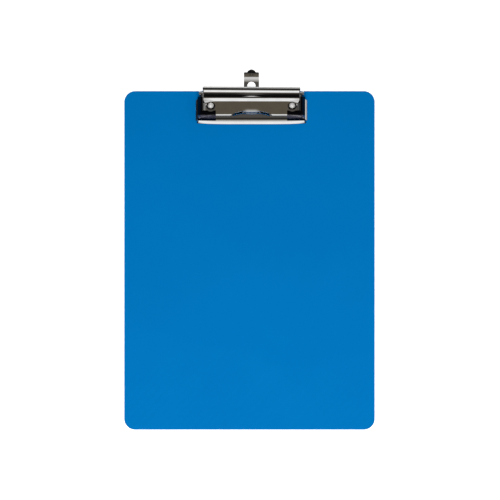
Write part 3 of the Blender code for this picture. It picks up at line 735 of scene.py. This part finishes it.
def make_base():
    (fine_end, fine_rows), (coarse_start, coarse_rows) = FLOOR_GRID_Y
    fold_y = [*np.linspace(SIDE_FOLD_Y[0], fine_end, fine_rows)]
    fold_y += [*np.linspace(coarse_start, SIDE_FOLD_Y[1], coarse_rows)]
    floor_y = [FLOOR_FRONT_Y, *fold_y, *FLOOR_TAPER_Y, FLOOR_REAR_Y]
    share = np.linspace(-1.0, 1.0, FLOOR_COLUMNS)
    bm = bmesh.new()

    def row(y, z, half, bow=0.0):
        return [bm.verts.new((half * u, y + bow * abs(u) ** FRONT_BOW_POWER, z)) for u in share]

    def stitch(lower, upper):
        for a, b, c, d in zip(lower, lower[1:], upper[1:], upper):
            bm.faces.new((a, b, c, d))

    rows = []
    for y in floor_y:
        narrow = smoothstep(y, SIDE_FOLD_Y[1], FLOOR_TAPER_END_Y)
        bead = FRONT_BEAD * (1.0 - smoothstep(y - FLOOR_FRONT_Y, *FRONT_BEAD_FADE))
        rows.append(row(y, FLOOR_TOP + bead, FLOOR_HALF + (FLOOR_REAR_HALF - FLOOR_HALF) * narrow))
    for lower, upper in zip(rows, rows[1:]):
        stitch(lower, upper)
    above = rows[0]
    fold_half = FLOOR_HALF - FRONT_INSET
    for k, (y, z) in enumerate(zip(*front_roll())):
        part = (k + 1) / FRONT_ROLL_STEPS
        below = row(y, z, fold_half + (FRONT_EDGE_HALF - fold_half) * part, FRONT_EDGE_BOW * part)
        stitch(below, above)
        above = below
    fold_rows = rows[1:len(fold_y) + 1]
    tilts = np.radians(np.linspace(*SIDE_FOLD_TILTS, SIDE_FOLD_STEPS))
    drops = np.cumsum(np.tan(tilts))
    drops *= SIDE_DROP / drops[-1]
    width = BASE_HIGH[0] - FLOOR_HALF
    along = [(r[0].co.y - SIDE_FOLD_Y[0]) / (SIDE_FOLD_Y[1] - SIDE_FOLD_Y[0]) for r in fold_rows]
    for side, column in ((-1, 0), (1, -1)):
        previous = [r[column] for r in fold_rows]
        for k, drop in enumerate(drops):
            part = (k + 1) / SIDE_FOLD_STEPS
            low, high = (a + (b - a) * part for a, b in zip(SIDE_FOLD_Y, SIDE_EDGE_Y))
            x = side * (FLOOR_HALF + width * part)
            current = [bm.verts.new((x, low + (high - low) * t, FLOOR_TOP - drop)) for t in along]
            for a, b, c, d in zip(previous, current, current[1:], previous[1:]):
                bm.faces.new((a, b, c, d) if side > 0 else (a, d, c, b))
            previous = current
    bmesh.ops.scale(bm, vec=(MM, MM, MM), verts=bm.verts)
    bmesh.ops.translate(bm, vec=(CLIP_X * MM, 0.0, 0.0), verts=bm.verts)
    mesh = bpy.data.meshes.new("clip_base")
    bm.to_mesh(mesh)
    bm.free()
    base = bpy.data.objects.new("clip_base", mesh)
    bpy.context.scene.collection.objects.link(base)
    solid = base.modifiers.new("sheet", "SOLIDIFY")
    solid.thickness = SHEET * MM
    solid.offset = -1.0
    solid.use_even_offset = True
    flatten(base)
    bevel(base, BASE_EDGE_BEVEL, segments=2, angle=60.0)
    underside = FLOOR_TOP - SHEET
    gap_top = BOARD_HIGH[2] + GAP
    for side in (-1, 1):
        low, high = sorted((side * EAR_INSIDE, side * (EAR_INSIDE + EAR_THICKNESS)))
        foot = FLOOR_TOP - SHEET / 2
        outline = [(PIVOT_Y - EAR_RADIUS, foot), (FLOOR_REAR_Y - OVERLAP, foot)]
        outline += arc((PIVOT_Y, PIVOT_Z), EAR_RADIUS, 0.0, 180.0, EAR_STEPS)
        ear = bevel(prism("ear", outline, low, high, along_x=True), OVERLAP, segments=2)
        combine(base, ear, "UNION")
        centre = (side * RIVET_X, RIVET_Y)
        combine(base, disc("boss", centre, BOSS_RADIUS, gap_top, underside + OVERLAP), "UNION")
        ends = sorted((side * GUIDE_X[0], side * GUIDE_X[1]))
        guide_high = (ends[1], GUIDE_Y[1], underside + OVERLAP)
        combine(base, block("guide", (ends[0], GUIDE_Y[0], gap_top), guide_high), "UNION")
        combine(base, disc("hole", centre, RIVET_HOLE, 0.0, FLOOR_TOP + PAST))
        inner, bottom, outer = GROOVE_RADII
        spread = GROOVE_CLEAR * (outer - bottom) / GROOVE_DEPTH
        clear_z = FLOOR_TOP + GROOVE_CLEAR
        groove = [(outer + spread, clear_z), (bottom, FLOOR_TOP - GROOVE_DEPTH), (inner - spread, clear_z)]
        combine(base, turned("groove", groove, centre, steps=72, ring=True))
        slot_x = side * LEG_X
        slot_low = (slot_x - LEG_SLOT_HALF, LEG_SLOT_Y[0], underside - PAST)
        slot_high = (slot_x + LEG_SLOT_HALF, LEG_SLOT_Y[1], FLOOR_TOP + PAST)
        combine(base, block("slot", slot_low, slot_high))
    bore_end = EAR_INSIDE + 2 * EAR_THICKNESS
    combine(base, disc("bore", (PIVOT_Y, PIVOT_Z), PIVOT_BORE, -bore_end, bore_end, along_x=True))
    finish_piece(base, "board", "base_plate", "base_steel")


# ---------------------------------------------------------------- jaw


def plate_top(y):
    return PLATE_Z + (y - PLATE_Y) * math.tan(math.radians(PLATE_TILT))


def jaw_tilt(y):
    places, tilts = zip(*JAW_TILTS)
    return np.interp(y, places, tilts)


def jaw_profile():
    """The plate, ridge, valley and rim in (y, z), from behind the front lip to the rim's end."""
    points = [(y, plate_top(y)) for y in np.linspace(*PLATE_GRID_Y)]
    step = PROFILE_STEP
    y, z = points[-1]
    next_y = y + PROFILE_SPACING
    while y < JAW_TILTS[-1][0] - step / 2:
        z += step * math.tan(math.radians(jaw_tilt(y + step / 2)))
        y += step
        if y >= next_y - step / 2:
            points.append((y, z))
            next_y += PROFILE_SPACING
    last = 90.0 + JAW_TILTS[-1][1]
    angle = math.radians(last)
    centre = (y - RIM_RADIUS * math.cos(angle), z - RIM_RADIUS * math.sin(angle))
    return points + arc(centre, RIM_RADIUS, last, 0.0, RIM_STEPS)[1:]


def arch_rise(x):
    """How far back the arched cut-out takes the lip's corner at a place across the jaw."""
    rise = np.interp(np.abs(x), ARCH_X, ARCH_RISE)
    for _ in range(ARCH_SOFTENING):
        rise[1:-1] = (rise[:-2] + 2.0 * rise[1:-1] + rise[2:]) / 4.0
    return rise


def lip_rows(x):
    """The sloping front lip and the roll above it, as rows of (y, z) for every place across."""
    arch = arch_rise(x)
    steep = smoothstep(arch, 0.0, ARCH_STEEP_RISE)
    slant = np.degrees(np.arctan(np.abs(np.gradient(arch, x))))
    slanting = smoothstep(slant, *ARCH_SLANTS)
    arch_tilt = ARCH_LIP_TILTS[0] + (ARCH_LIP_TILTS[1] - ARCH_LIP_TILTS[0]) * slanting
    lip_tilt = np.radians(LIP_TILT + (arch_tilt - LIP_TILT) * steep)
    flare_tilt = np.radians(LIP_TILT + (ARCH_FLARE_TILT - LIP_TILT) * steep)
    bend = CROWN_CURVE * (1.0 - smoothstep(np.abs(x), *CROWN_X))

    def surface(y):
        return plate_top(y) - bend * np.maximum(CROWN_REAR_Y - y, 0.0) ** 2 / 2.0

    straight_run = (PLATE_Z - LIP_FOOT_Z) / math.tan(math.radians(LIP_TILT))
    corner_y = JAW_FRONT_Y + straight_run + arch
    foot_z = LIP_FOOT_Z + ARCH_FOOT_RISE * steep
    rise = surface(corner_y) - foot_z - FLARE_HEIGHT
    flare_y = corner_y - rise / np.tan(lip_tilt)
    flare_z = foot_z + FLARE_HEIGHT
    foot_y = np.maximum(flare_y - FLARE_HEIGHT / np.tan(flare_tilt), JAW_FRONT_Y)
    end_tilt = np.arctan(math.tan(math.radians(PLATE_TILT)) + bend * (CROWN_REAR_Y - corner_y))

    # The roll from the lip's slope to the plate's: tight at first, then wider
    parts = np.linspace(0.0, 1.0, LIP_STEPS + 1)[:, None]
    tilts = lip_tilt + (end_tilt - lip_tilt) * parts
    middle = (tilts[1:] + tilts[:-1]) / 2.0
    wide = 1.0 - smoothstep(np.degrees(middle), *LIP_RADIUS_TILTS)
    radius = LIP_RADII[0] + (LIP_RADII[1] - LIP_RADII[0]) * wide
    radius = radius + (ARCH_LIP_RADIUS - radius) * steep
    length = radius * (tilts[:-1] - tilts[1:])
    roll_y = np.cumsum(length * np.cos(middle), axis=0)
    roll_z = np.cumsum(length * np.sin(middle), axis=0)
    low_y = flare_y
    for _ in range(LIP_FIT_ROUNDS):
        low_z = surface(low_y + roll_y[-1]) - roll_z[-1]
        low_y = flare_y + (low_z - flare_z) / np.tan(lip_tilt)
    rows = []
    for part in FLARE_PARTS:
        rows.append((foot_y + (flare_y - foot_y) * part, foot_z + FLARE_HEIGHT * part))
    for part in SLOPE_PARTS:
        rows.append((flare_y + (low_y - flare_y) * part, flare_z + (low_z - flare_z) * part))
    rows.append((low_y, low_z))
    rows += [(low_y + y, low_z + z) for y, z in zip(roll_y, roll_z)]
    last_y, last_z = rows[-1]
    offset = last_z - surface(last_y)
    end_y = jaw_profile()[0][0]
    for part in np.arange(1, LIP_REAR_ROWS) / LIP_REAR_ROWS:
        y = last_y + (end_y - last_y) * part
        rows.append((y, surface(y) + offset * (1.0 - smoothstep(part))))
    return rows


def side_roll(y, outward):
    """Half the flat width at a place along the jaw, and its side slope's places and drops."""
    change = smoothstep(y, *SIDE_ROLL_CHANGE_Y)
    width = SIDE_WIDTHS[0] + (SIDE_WIDTHS[1] - SIDE_WIDTHS[0]) * change
    slope = math.tan(math.radians(SIDE_TILT)) * width * outward * smoothstep(outward, 0.0, SIDE_SLOPE_START)
    turn = np.clip((outward - SIDE_EDGE_SHARE) / (1.0 - SIDE_EDGE_SHARE), 0.0, 1.0)
    drop = slope + SIDE_EDGE_DROP * (1.0 - np.sqrt(1.0 - turn**2))
    return JAW_HALF - width, width * outward, drop * (1.0 - smoothstep(y, *SIDE_ROLL_END_Y))


def make_jaw():
    flat_share = np.linspace(-1.0, 1.0, JAW_COLUMNS)
    widest = JAW_HALF - SIDE_WIDTHS[0]
    bends = [side * (bend + place) / widest
             for side in (-1, 1) for bend in ARCH_BENDS for place in ARCH_BEND_PLACES]
    flat_share = np.unique(np.concatenate((flat_share, bends)))
    edge = SIDE_EDGE_SHARE + (1.0 - SIDE_EDGE_SHARE) * np.sin(np.radians(SIDE_EDGE_TURNS))
    outward = np.concatenate((np.linspace(0.0, SIDE_EDGE_SHARE, 9)[1:], edge))

    def across(y):
        flat_half, beyond, drop = side_roll(y, outward)
        x = np.concatenate((-(flat_half + beyond)[::-1], flat_half * flat_share, flat_half + beyond))
        return x, np.concatenate((drop[::-1], np.zeros(len(flat_share)), drop))

    x, drop = across(JAW_FRONT_Y)
    rows = []
    for k, (y, z) in enumerate(lip_rows(x)):
        rows.append((x, y, z - drop * min(k / LIP_DROP_ROWS, 1.0) * LIP_DROP_SHARE))
    toward_end = smoothstep(np.abs(x), *END_PULL_X)
    for y, z in jaw_profile():
        x, drop = across(y)
        pull = END_PULL * smoothstep(y, *END_PULL_Y) * (1.0 - smoothstep(y, *END_PULL_END_Y)) * toward_end
        dip = VALLEY_DIP * smoothstep(y, *VALLEY_DIP_Y) * (1.0 - smoothstep(y, *VALLEY_END_Y))
        dip = dip * np.exp(-((x / VALLEY_DIP_HALF) ** 2))
        skew = RIM_SKEW * (x + JAW_HALF) * smoothstep(y, *RIM_SKEW_Y)
        rows.append((x, y - pull - skew, z - dip - drop))
    outer = np.array([np.stack(np.broadcast_arrays(*row), axis=-1) for row in rows])
    jaw = sheet_metal("clip_jaw", outer, SHEET)
    front = JAW_FRONT_Y + FLANGE_SET_BACK
    upper = [(front, plate_top(front))] + [point for point in jaw_profile() if point[0] < FLANGE_REAR_END]
    end_drop = [side_roll(y, outward)[2][-1] for y, _ in upper]
    upper = [(y, z - drop - SHEET / 2) for (y, z), drop in zip(upper, end_drop)]
    lobe = arc((PIVOT_Y, PIVOT_Z), FLANGE_LOBE, -90.0, 0.0, EAR_STEPS // 2)
    outline = [(front, FLANGE_FOOT_Z), (FLANGE_FRONT_END, FLANGE_FOOT_Z)] + lobe + upper[::-1]
    for side in (-1, 1):
        outer_x = JAW_HALF - FLANGE_SINK
        low, high = sorted((side * outer_x, side * (outer_x - SHEET)))
        combine(jaw, prism("flange", outline, low, high, along_x=True), "UNION")
        hole_top = PIVOT_Z + FAR
        combine(jaw, disc("hole", (side * RIVET_X, ACCESS_Y), ACCESS_RADIUS, PIVOT_Z - PAST, hole_top))
    reach = JAW_HALF + PAST
    combine(jaw, disc("bore", (PIVOT_Y, PIVOT_Z), PIVOT_BORE, -reach, reach, along_x=True))
    finish_piece(jaw, "jaw", "jaw", "jaw_steel", angle=50.0)


# ---------------------------------------------------------------- corner caps


def make_cap(name, node, side):
    inner_x, outer_x = CAP_LOW[0], CAP_HIGH[0]
    front_y, rear_y = CAP_LOW[1], CAP_HIGH[1]
    # Corners are known by (outer, rear, crown), each 0 or 1
    turn = ((0, 0), (1, 0), (1, 1), (0, 1))
    keys = [(*pair, level) for level in (0, 1) for pair in turn]
    foot = [(inner_x, front_y), (outer_x, front_y + CAP_CORNER_BACK), (outer_x, rear_y), (inner_x, rear_y)]
    crown = [(inner_x, CAP_CROWN_Y[0]), (CAP_CROWN_X, CAP_CROWN_Y[1])]
    crown += [(CAP_CROWN_X, rear_y), (inner_x, rear_y)]
    vertices = [(side * x, y, CAP_FOOT_Z) for x, y in foot]
    vertices += [(side * x, y, plate_top(y) + GAP + CAP_SKIN) for x, y in crown]
    quads = [(0, 1, 2, 3), (4, 5, 6, 7)]
    quads += [(i, (i + 1) % 4, 4 + (i + 1) % 4, 4 + i) for i in range(4)]
    cap = new_object(name, vertices, quads)
    bm = bmesh.new()
    bm.from_mesh(cap.data)
    bmesh.ops.recalc_face_normals(bm, faces=bm.faces)
    weight = bm.edges.layers.float.new("bevel_weight_edge")
    widest = max(CAP_RADII.values())
    for edge in bm.edges:
        ends = [keys[vert.index] for vert in edge.verts]
        if all(key[2] == 0 for key in ends):
            kind = "foot"
        elif all(key[1:] == (0, 1) for key in ends):
            kind = "front"
        elif all(key[0] == 1 and key[2] == 1 for key in ends):
            kind = "side"
        elif all(key[:2] == (1, 0) for key in ends):
            kind = "corner"
        else:
            kind = "other"
        edge[weight] = CAP_RADII[kind] / widest
    bm.to_mesh(cap.data)
    bm.free()
    edges = cap.modifiers.new("bevel", "BEVEL")
    edges.width = widest * MM
    edges.segments = CAP_BEVEL_STEPS
    edges.limit_method = "WEIGHT"
    flatten(cap)
    low, high = sorted((side * (inner_x - PAST), side * (JAW_HALF + GAP)))
    hollow_y = JAW_FRONT_Y - GAP
    slant_y = hollow_y + CAP_HOLLOW_SLANT
    tongue_z = plate_top(CAP_TONGUE_Y)
    outline = [
        (hollow_y, CAP_FOOT_Z - PAST),
        (hollow_y, plate_top(hollow_y) - CAP_HOLLOW_SLANT),
        (slant_y, plate_top(slant_y) + GAP),
        (CAP_TONGUE_Y, tongue_z + GAP),
        (CAP_TONGUE_Y, tongue_z + FAR),
        (rear_y + PAST, tongue_z + FAR),
        (rear_y + PAST, CAP_FOOT_Z - PAST),
    ]
    combine(cap, prism("hollow", outline, low, high, along_x=True))
    combine(cap, disc("notch", (side * RIVET_X, ACCESS_Y), ACCESS_RADIUS + GAP, 0.0, PIVOT_Z + FAR))
    finish_piece(cap, "jaw", node, "cap_plastic", angle=30.0)


# ---------------------------------------------------------------- rod, springs, rivets, washers


def make_rod():
    head_radius = (ROD_HIGH[2] - ROD_LOW[2]) / 2
    end = ROD_HIGH[0]
    foot = end - ROD_HEAD
    crown_share, crown_drop = ROD_HEAD_CROWN
    round_centre = (head_radius - ROD_HEAD_ROUND, end - ROD_HEAD_SET)
    profile = [(0.0, end), (head_radius * crown_share, end - crown_drop)]
    profile += arc(round_centre, ROD_HEAD_ROUND, 80.0, 0.0, 5)
    profile += [(head_radius, foot + ROD_HEAD_EDGE), (head_radius - ROD_HEAD_EDGE, foot)]
    profile += [(ROD_RADIUS, foot), (ROD_RADIUS, foot - ROD_SHANK_ROW), (ROD_RADIUS, 0.0)]
    profile += [(r, -h) for r, h in profile[-2::-1]]
    rod = turned("hinge_rod", profile, (PIVOT_Y, PIVOT_Z), along_x=True, steps=40)
    finish_piece(rod, "board", "pivot_rod", "rod_steel")


def coil_point(angle):
    turn = math.radians(angle)
    return (PIVOT_Y + COIL_RADIUS * math.cos(turn), PIVOT_Z + COIL_RADIUS * math.sin(turn))


def spring_path(side):
    """Hooked front leg, coil and rear leg, with rounded bends."""
    front_angle = 90.0 + FRONT_LEG_SLOPE
    rear_angle = 90.0 + REAR_LEG_SLOPE - 360.0 * COIL_TURNS
    front_y, front_z = coil_point(front_angle)
    bend_z = FLOOR_TOP + WIRE_RADIUS + GAP
    bend_y = front_y - (front_z - bend_z) / math.tan(math.radians(FRONT_LEG_SLOPE))
    hook_z = FLOOR_TOP - SHEET - GAP - WIRE_RADIUS
    leg = [(bend_y + along, hook_z + up) for along, up in HOOK]
    leg += [(bend_y, bend_z), (front_y - HOOK_END, front_z - HOOK_END)]
    fine = []
    padded = [leg[0], *leg, (front_y, front_z)]
    for p0, p1, p2, p3 in zip(padded, padded[1:], padded[2:], padded[3:]):
        for t in np.arange(BEND_STEPS) / BEND_STEPS:
            a, b, c, d = (np.array(p) for p in (p0, p1, p2, p3))
            fine.append(0.5 * (2 * b + (c - a) * t + (2 * a - 5 * b + 4 * c - d) * t**2
                               + (3 * b - a - 3 * c + d) * t**3))
    path = [(LEG_X, y, z) for y, z in fine]
    steps = COIL_STEPS * COIL_TURNS
    for i in range(steps + 1):
        share = i / steps
        y, z = coil_point(front_angle + (rear_angle - front_angle) * share)
        path.append((LEG_X + COIL_PITCH * COIL_TURNS * share, y, z))
    x, y, z = path[-1]
    for share in (0.25, 0.5, 0.75, 1.0):
        along = (REAR_LEG_END_Y - y) * share
        path.append((x, y + along, z + along * math.tan(math.radians(REAR_LEG_SLOPE))))
    return [(side * px, py, pz) for px, py, pz in path]


def make_spring(name, node, side):
    spring = wire(name, spring_path(side), WIRE_RADIUS)
    finish_piece(spring, None, node, "spring_steel", angle=60.0)
    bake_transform(spring)


def make_rivet(name, node, side):
    head_radius = (RIVET_HIGH[0] - RIVET_LOW[0]) / 2
    top = RIVET_HIGH[2]
    foot = top - RIVET_RISE
    dome_rise = RIVET_RISE - RIVET_BRIM
    bend = (head_radius**2 + dome_rise**2) / (2 * dome_rise)
    sweep = math.degrees(math.asin(head_radius / bend))
    profile = arc((0.0, top - bend), bend, 90.0, 92.0 - sweep, 16)
    profile += [(head_radius, foot + RIVET_BRIM), (head_radius, foot + SOFT_EDGE)]
    profile += [(head_radius - SOFT_EDGE, foot), (RIVET_TAIL[0][0], foot), *RIVET_TAIL]
    rivet = turned(name, profile, (side * RIVET_X, RIVET_Y))
    finish_piece(rivet, "board", node, "rivet_steel", angle=40.0)


def make_washer(name, node, side):
    low, high = WASHER_LOW[2], WASHER_HIGH[2]
    outer = (WASHER_HIGH[0] - WASHER_LOW[0]) / 2
    inner = WASHER_HOLE
    soft = SOFT_EDGE
    profile = [
        (inner + soft, high), (outer - soft, high), (outer, high - soft), (outer, low + soft),
        (outer - soft, low), (inner + soft, low), (inner, low + soft), (inner, high - soft),
    ]
    washer = turned(name, profile, (side * RIVET_X, RIVET_Y), ring=True)
    finish_piece(washer, "board", node, "rivet_steel")


# ---------------------------------------------------------------- hanging tab


def make_tab():
    level = TAB_LEVEL
    tip = TAB_HIGH[2]
    end_y = TAB_HIGH[1]
    shoulder_half = TAB_HIGH[0]
    places, tilts = zip(*TAB_TILTS)
    y_values = np.concatenate((np.linspace(*TAB_FLAT_GRID_Y), np.arange(*TAB_RAMP_GRID_Y)))
    x_values = np.linspace(-shoulder_half - PAST, shoulder_half + PAST, TAB_COLUMNS)
    slopes = np.tan(np.radians(np.interp((y_values[1:] + y_values[:-1]) / 2, places, tilts)))
    rises = np.concatenate(((0.0,), np.cumsum(np.diff(y_values) * slopes)))
    z_line = level + rises * (tip - level - TAB_TOP_CLEAR) / rises.max()
    grid = np.zeros((len(y_values), len(x_values), 3))
    grid[..., 0] = x_values[None, :]
    grid[..., 1] = y_values[:, None]
    grid[..., 2] = z_line[:, None]
    spot = np.hypot(grid[..., 0] / DIMPLE_SIZE[0], (grid[..., 1] - DIMPLE_Y) / DIMPLE_SIZE[1])
    grid[..., 2] -= DIMPLE_DEPTH * (1.0 - smoothstep(spot, DIMPLE_EDGE, 1.0))
    strip = sheet_metal("hanger_strip", grid, TAB_THICKNESS)
    rise = end_y - TAB_END_Y
    radius = (NUB_HALF**2 + rise**2) / (2 * rise)
    sweep = math.degrees(math.asin(NUB_HALF / radius))
    corner = (TAB_HALF - TAB_CORNER, TAB_END_Y - TAB_CORNER)
    outline = [(-shoulder_half, TAB_LOW[1]), (shoulder_half, TAB_LOW[1])]
    outline += [(shoulder_half, TAB_SHOULDER_Y), (TAB_HALF, TAB_SHOULDER_Y)]
    outline += arc(corner, TAB_CORNER, 0.0, 90.0, 6)
    outline += arc((0.0, end_y - radius), radius, 90.0 - sweep, 90.0 + sweep, 24)
    outline += arc((-corner[0], corner[1]), TAB_CORNER, 90.0, 180.0, 6)
    outline += [(-TAB_HALF, TAB_SHOULDER_Y), (-shoulder_half, TAB_SHOULDER_Y)]
    combine(strip, prism("outline", outline, 0.0, FAR), "INTERSECT")
    combine(strip, disc("hole", (0.0, TAB_HOLE_Y), TAB_HOLE_RADIUS, 0.0, FAR))
    finish_piece(strip, "hanging_tab", "hanging_tab", "tab_steel", angle=45.0)


make_board()
make_base()
make_jaw()
make_rod()
make_tab()
for label, sign in (("left", -1), ("right", 1)):
    make_cap(f"cap_moulding_{label}", f"corner_cap_{label}", sign)
    make_spring(f"torsion_spring_{label}", f"spring_{label}", sign)
    make_rivet(f"domed_rivet_{label}", f"rivet_{label}", sign)
    make_washer(f"back_washer_{label}", f"washer_{label}", sign)


# ---------------------------------------------------------------- floor, light and camera


FLOOR_SIZE = 5.0
FLOOR_LEVEL = -0.0003
CAMERA_LENS = 300.0
CAMERA_SENSOR = 36.0
CAMERA_PLACE = (0.00046, 0.0095, 3.81)
OVERHEAD_PLACE = (0.0, -0.32, 1.0)
OVERHEAD_AIM = (0.0, -0.02, 0.0)
OVERHEAD_SIZE = 1.0
OVERHEAD_POWER = 14.0


def pale_floor():
    mesh = bpy.data.meshes.new("floor")
    turn = ((-1, -1), (1, -1), (1, 1), (-1, 1))
    corners = [(x * FLOOR_SIZE, y * FLOOR_SIZE, FLOOR_LEVEL) for x, y in turn]
    mesh.from_pydata(corners, [], [(0, 1, 2, 3)])
    floor = bpy.data.objects.new("floor", mesh)
    bpy.context.scene.collection.objects.link(floor)
    shader = Shader("pale_floor")
    shader.set(base_color=(0.84, 0.84, 0.84, 1.0), roughness=0.9, specular_ior_level=0.0)
    shader.set(emission_color=(1.0, 1.0, 1.0, 1.0), emission_strength=0.80)
    mesh.materials.append(shader.material)


def grey(value, warmth=0.0):
    return (value * (1.0 + warmth), value, value * (1.0 - 1.4 * warmth))


# What a mirror-like surface sees, as angles from the vertical with a brightness and a warmth:
# towards the foot of the board, and sideways
FOOTWARDS = (
    (-90.0, 0.08), (-66.0, 0.10), (-58.0, 1.3), (-42.0, 1.4), (-37.0, 0.25), (-33.0, 0.006),
    (-12.0, 0.006), (-8.0, 0.075, 0.05), (-2.0, 0.12, 0.06), (2.0, 0.14, 0.08), (14.0, 0.13, 0.12),
    (22.5, 0.135, 0.20), (26.0, 0.34, 0.06), (33.0, 1.0), (44.0, 1.62, -0.01), (56.0, 1.35, -0.02),
    (60.0, 0.5), (64.0, 0.15), (74.0, 0.14), (82.0, 0.17, -0.06), (90.0, 0.10, -0.06),
)
SIDEWAYS_CENTRE = ((-9.0, 0.0), (-5.0, 1.0), (5.0, 1.0), (9.0, 0.0))
SIDEWAYS = (
    (-90.0, 0.015), (-48.0, 0.02), (-38.0, 0.30), (-18.0, 0.42), (-13.0, 0.02), (-9.0, 0.0),
    (9.0, 0.0), (14.0, 0.10), (42.0, 0.12), (50.0, 0.95, 0.02), (60.0, 1.1, 0.03), (72.0, 0.7),
    (90.0, 0.25),
)
# The side panels end before the front one begins
SIDE_PANEL_LIMITS = ((-90.0, 1.0), (38.0, 1.0), (46.0, 0.0))


def studio_world():
    """A soft studio: a dark ceiling, a bright panel towards the board's foot, and side panels."""
    world = bpy.data.worlds.new("studio")
    bpy.context.scene.world = world
    world.use_nodes = True
    tree = world.node_tree
    background = tree.nodes["Background"]
    direction = tree.nodes.new("ShaderNodeTexCoord").outputs["Generated"]
    split = tree.nodes.new("ShaderNodeSeparateXYZ")
    tree.links.new(direction, split.inputs["Vector"])

    def angle(sideways):
        node = tree.nodes.new("ShaderNodeMath")
        node.operation = "ARCTAN2"
        tree.links.new(split.outputs["X" if sideways else "Y"], node.inputs[0])
        tree.links.new(split.outputs["Z"], node.inputs[1])
        spread = tree.nodes.new("ShaderNodeMapRange")
        limit = math.pi / 2 if sideways else -math.pi / 2
        spread.inputs["From Min"].default_value = -limit
        spread.inputs["From Max"].default_value = limit
        tree.links.new(node.outputs["Value"], spread.inputs["Value"])
        return spread.outputs["Result"]

    def ramp(value, stops):
        node = tree.nodes.new("ShaderNodeValToRGB")
        elements = node.color_ramp.elements
        while len(elements) < len(stops):
            elements.new(1.0)
        for element, (degrees, *tone) in zip(elements, stops):
            element.position = (degrees + 90.0) / 180.0
            element.color = (*grey(*tone), 1.0)
        tree.links.new(value, node.inputs["Fac"])
        return node.outputs["Color"]

    def join(operation, first, second):
        node = tree.nodes.new("ShaderNodeVectorMath")
        node.operation = operation
        tree.links.new(first, node.inputs[0])
        tree.links.new(second, node.inputs[1])
        return node.outputs["Vector"]

    sideways = angle(True)
    footwards = angle(False)
    centre = join("MULTIPLY", ramp(footwards, FOOTWARDS), ramp(sideways, SIDEWAYS_CENTRE))
    sides = join("MULTIPLY", ramp(footwards, SIDE_PANEL_LIMITS), ramp(sideways, SIDEWAYS))
    seen = join("ADD", centre, sides)
    tree.links.new(seen, background.inputs["Color"])
    backdrop = tree.nodes.new("ShaderNodeBackground")
    backdrop.inputs["Color"].default_value = (0.86, 0.86, 0.86, 1.0)
    path = tree.nodes.new("ShaderNodeLightPath")
    mix = tree.nodes.new("ShaderNodeMixShader")
    tree.links.new(path.outputs["Is Camera Ray"], mix.inputs["Fac"])
    tree.links.new(background.outputs["Background"], mix.inputs[1])
    tree.links.new(backdrop.outputs["Background"], mix.inputs[2])
    tree.links.new(mix.outputs["Shader"], tree.nodes["World Output"].inputs["Surface"])


def soft_light(name, place, aim, size, power):
    light = bpy.data.lights.new(name, "AREA")
    light.shape = "SQUARE"
    light.size = size
    light.energy = power
    item = bpy.data.objects.new(name, light)
    bpy.context.scene.collection.objects.link(item)
    item.location = place
    item.rotation_mode = "QUATERNION"
    item.rotation_quaternion = (Vector(place) - Vector(aim)).to_track_quat("Z", "Y")
    item.visible_glossy = False
    item.visible_camera = False


def top_camera():
    data = bpy.data.cameras.new("camera")
    data.lens = CAMERA_LENS
    data.sensor_width = CAMERA_SENSOR
    camera = bpy.data.objects.new("camera", data)
    bpy.context.scene.collection.objects.link(camera)
    camera.location = CAMERA_PLACE
    bpy.context.scene.camera = camera


pale_floor()
studio_world()
soft_light("overhead", OVERHEAD_PLACE, OVERHEAD_AIM, OVERHEAD_SIZE, OVERHEAD_POWER)
top_camera()
bpy.context.scene.view_settings.view_transform = "Standard"
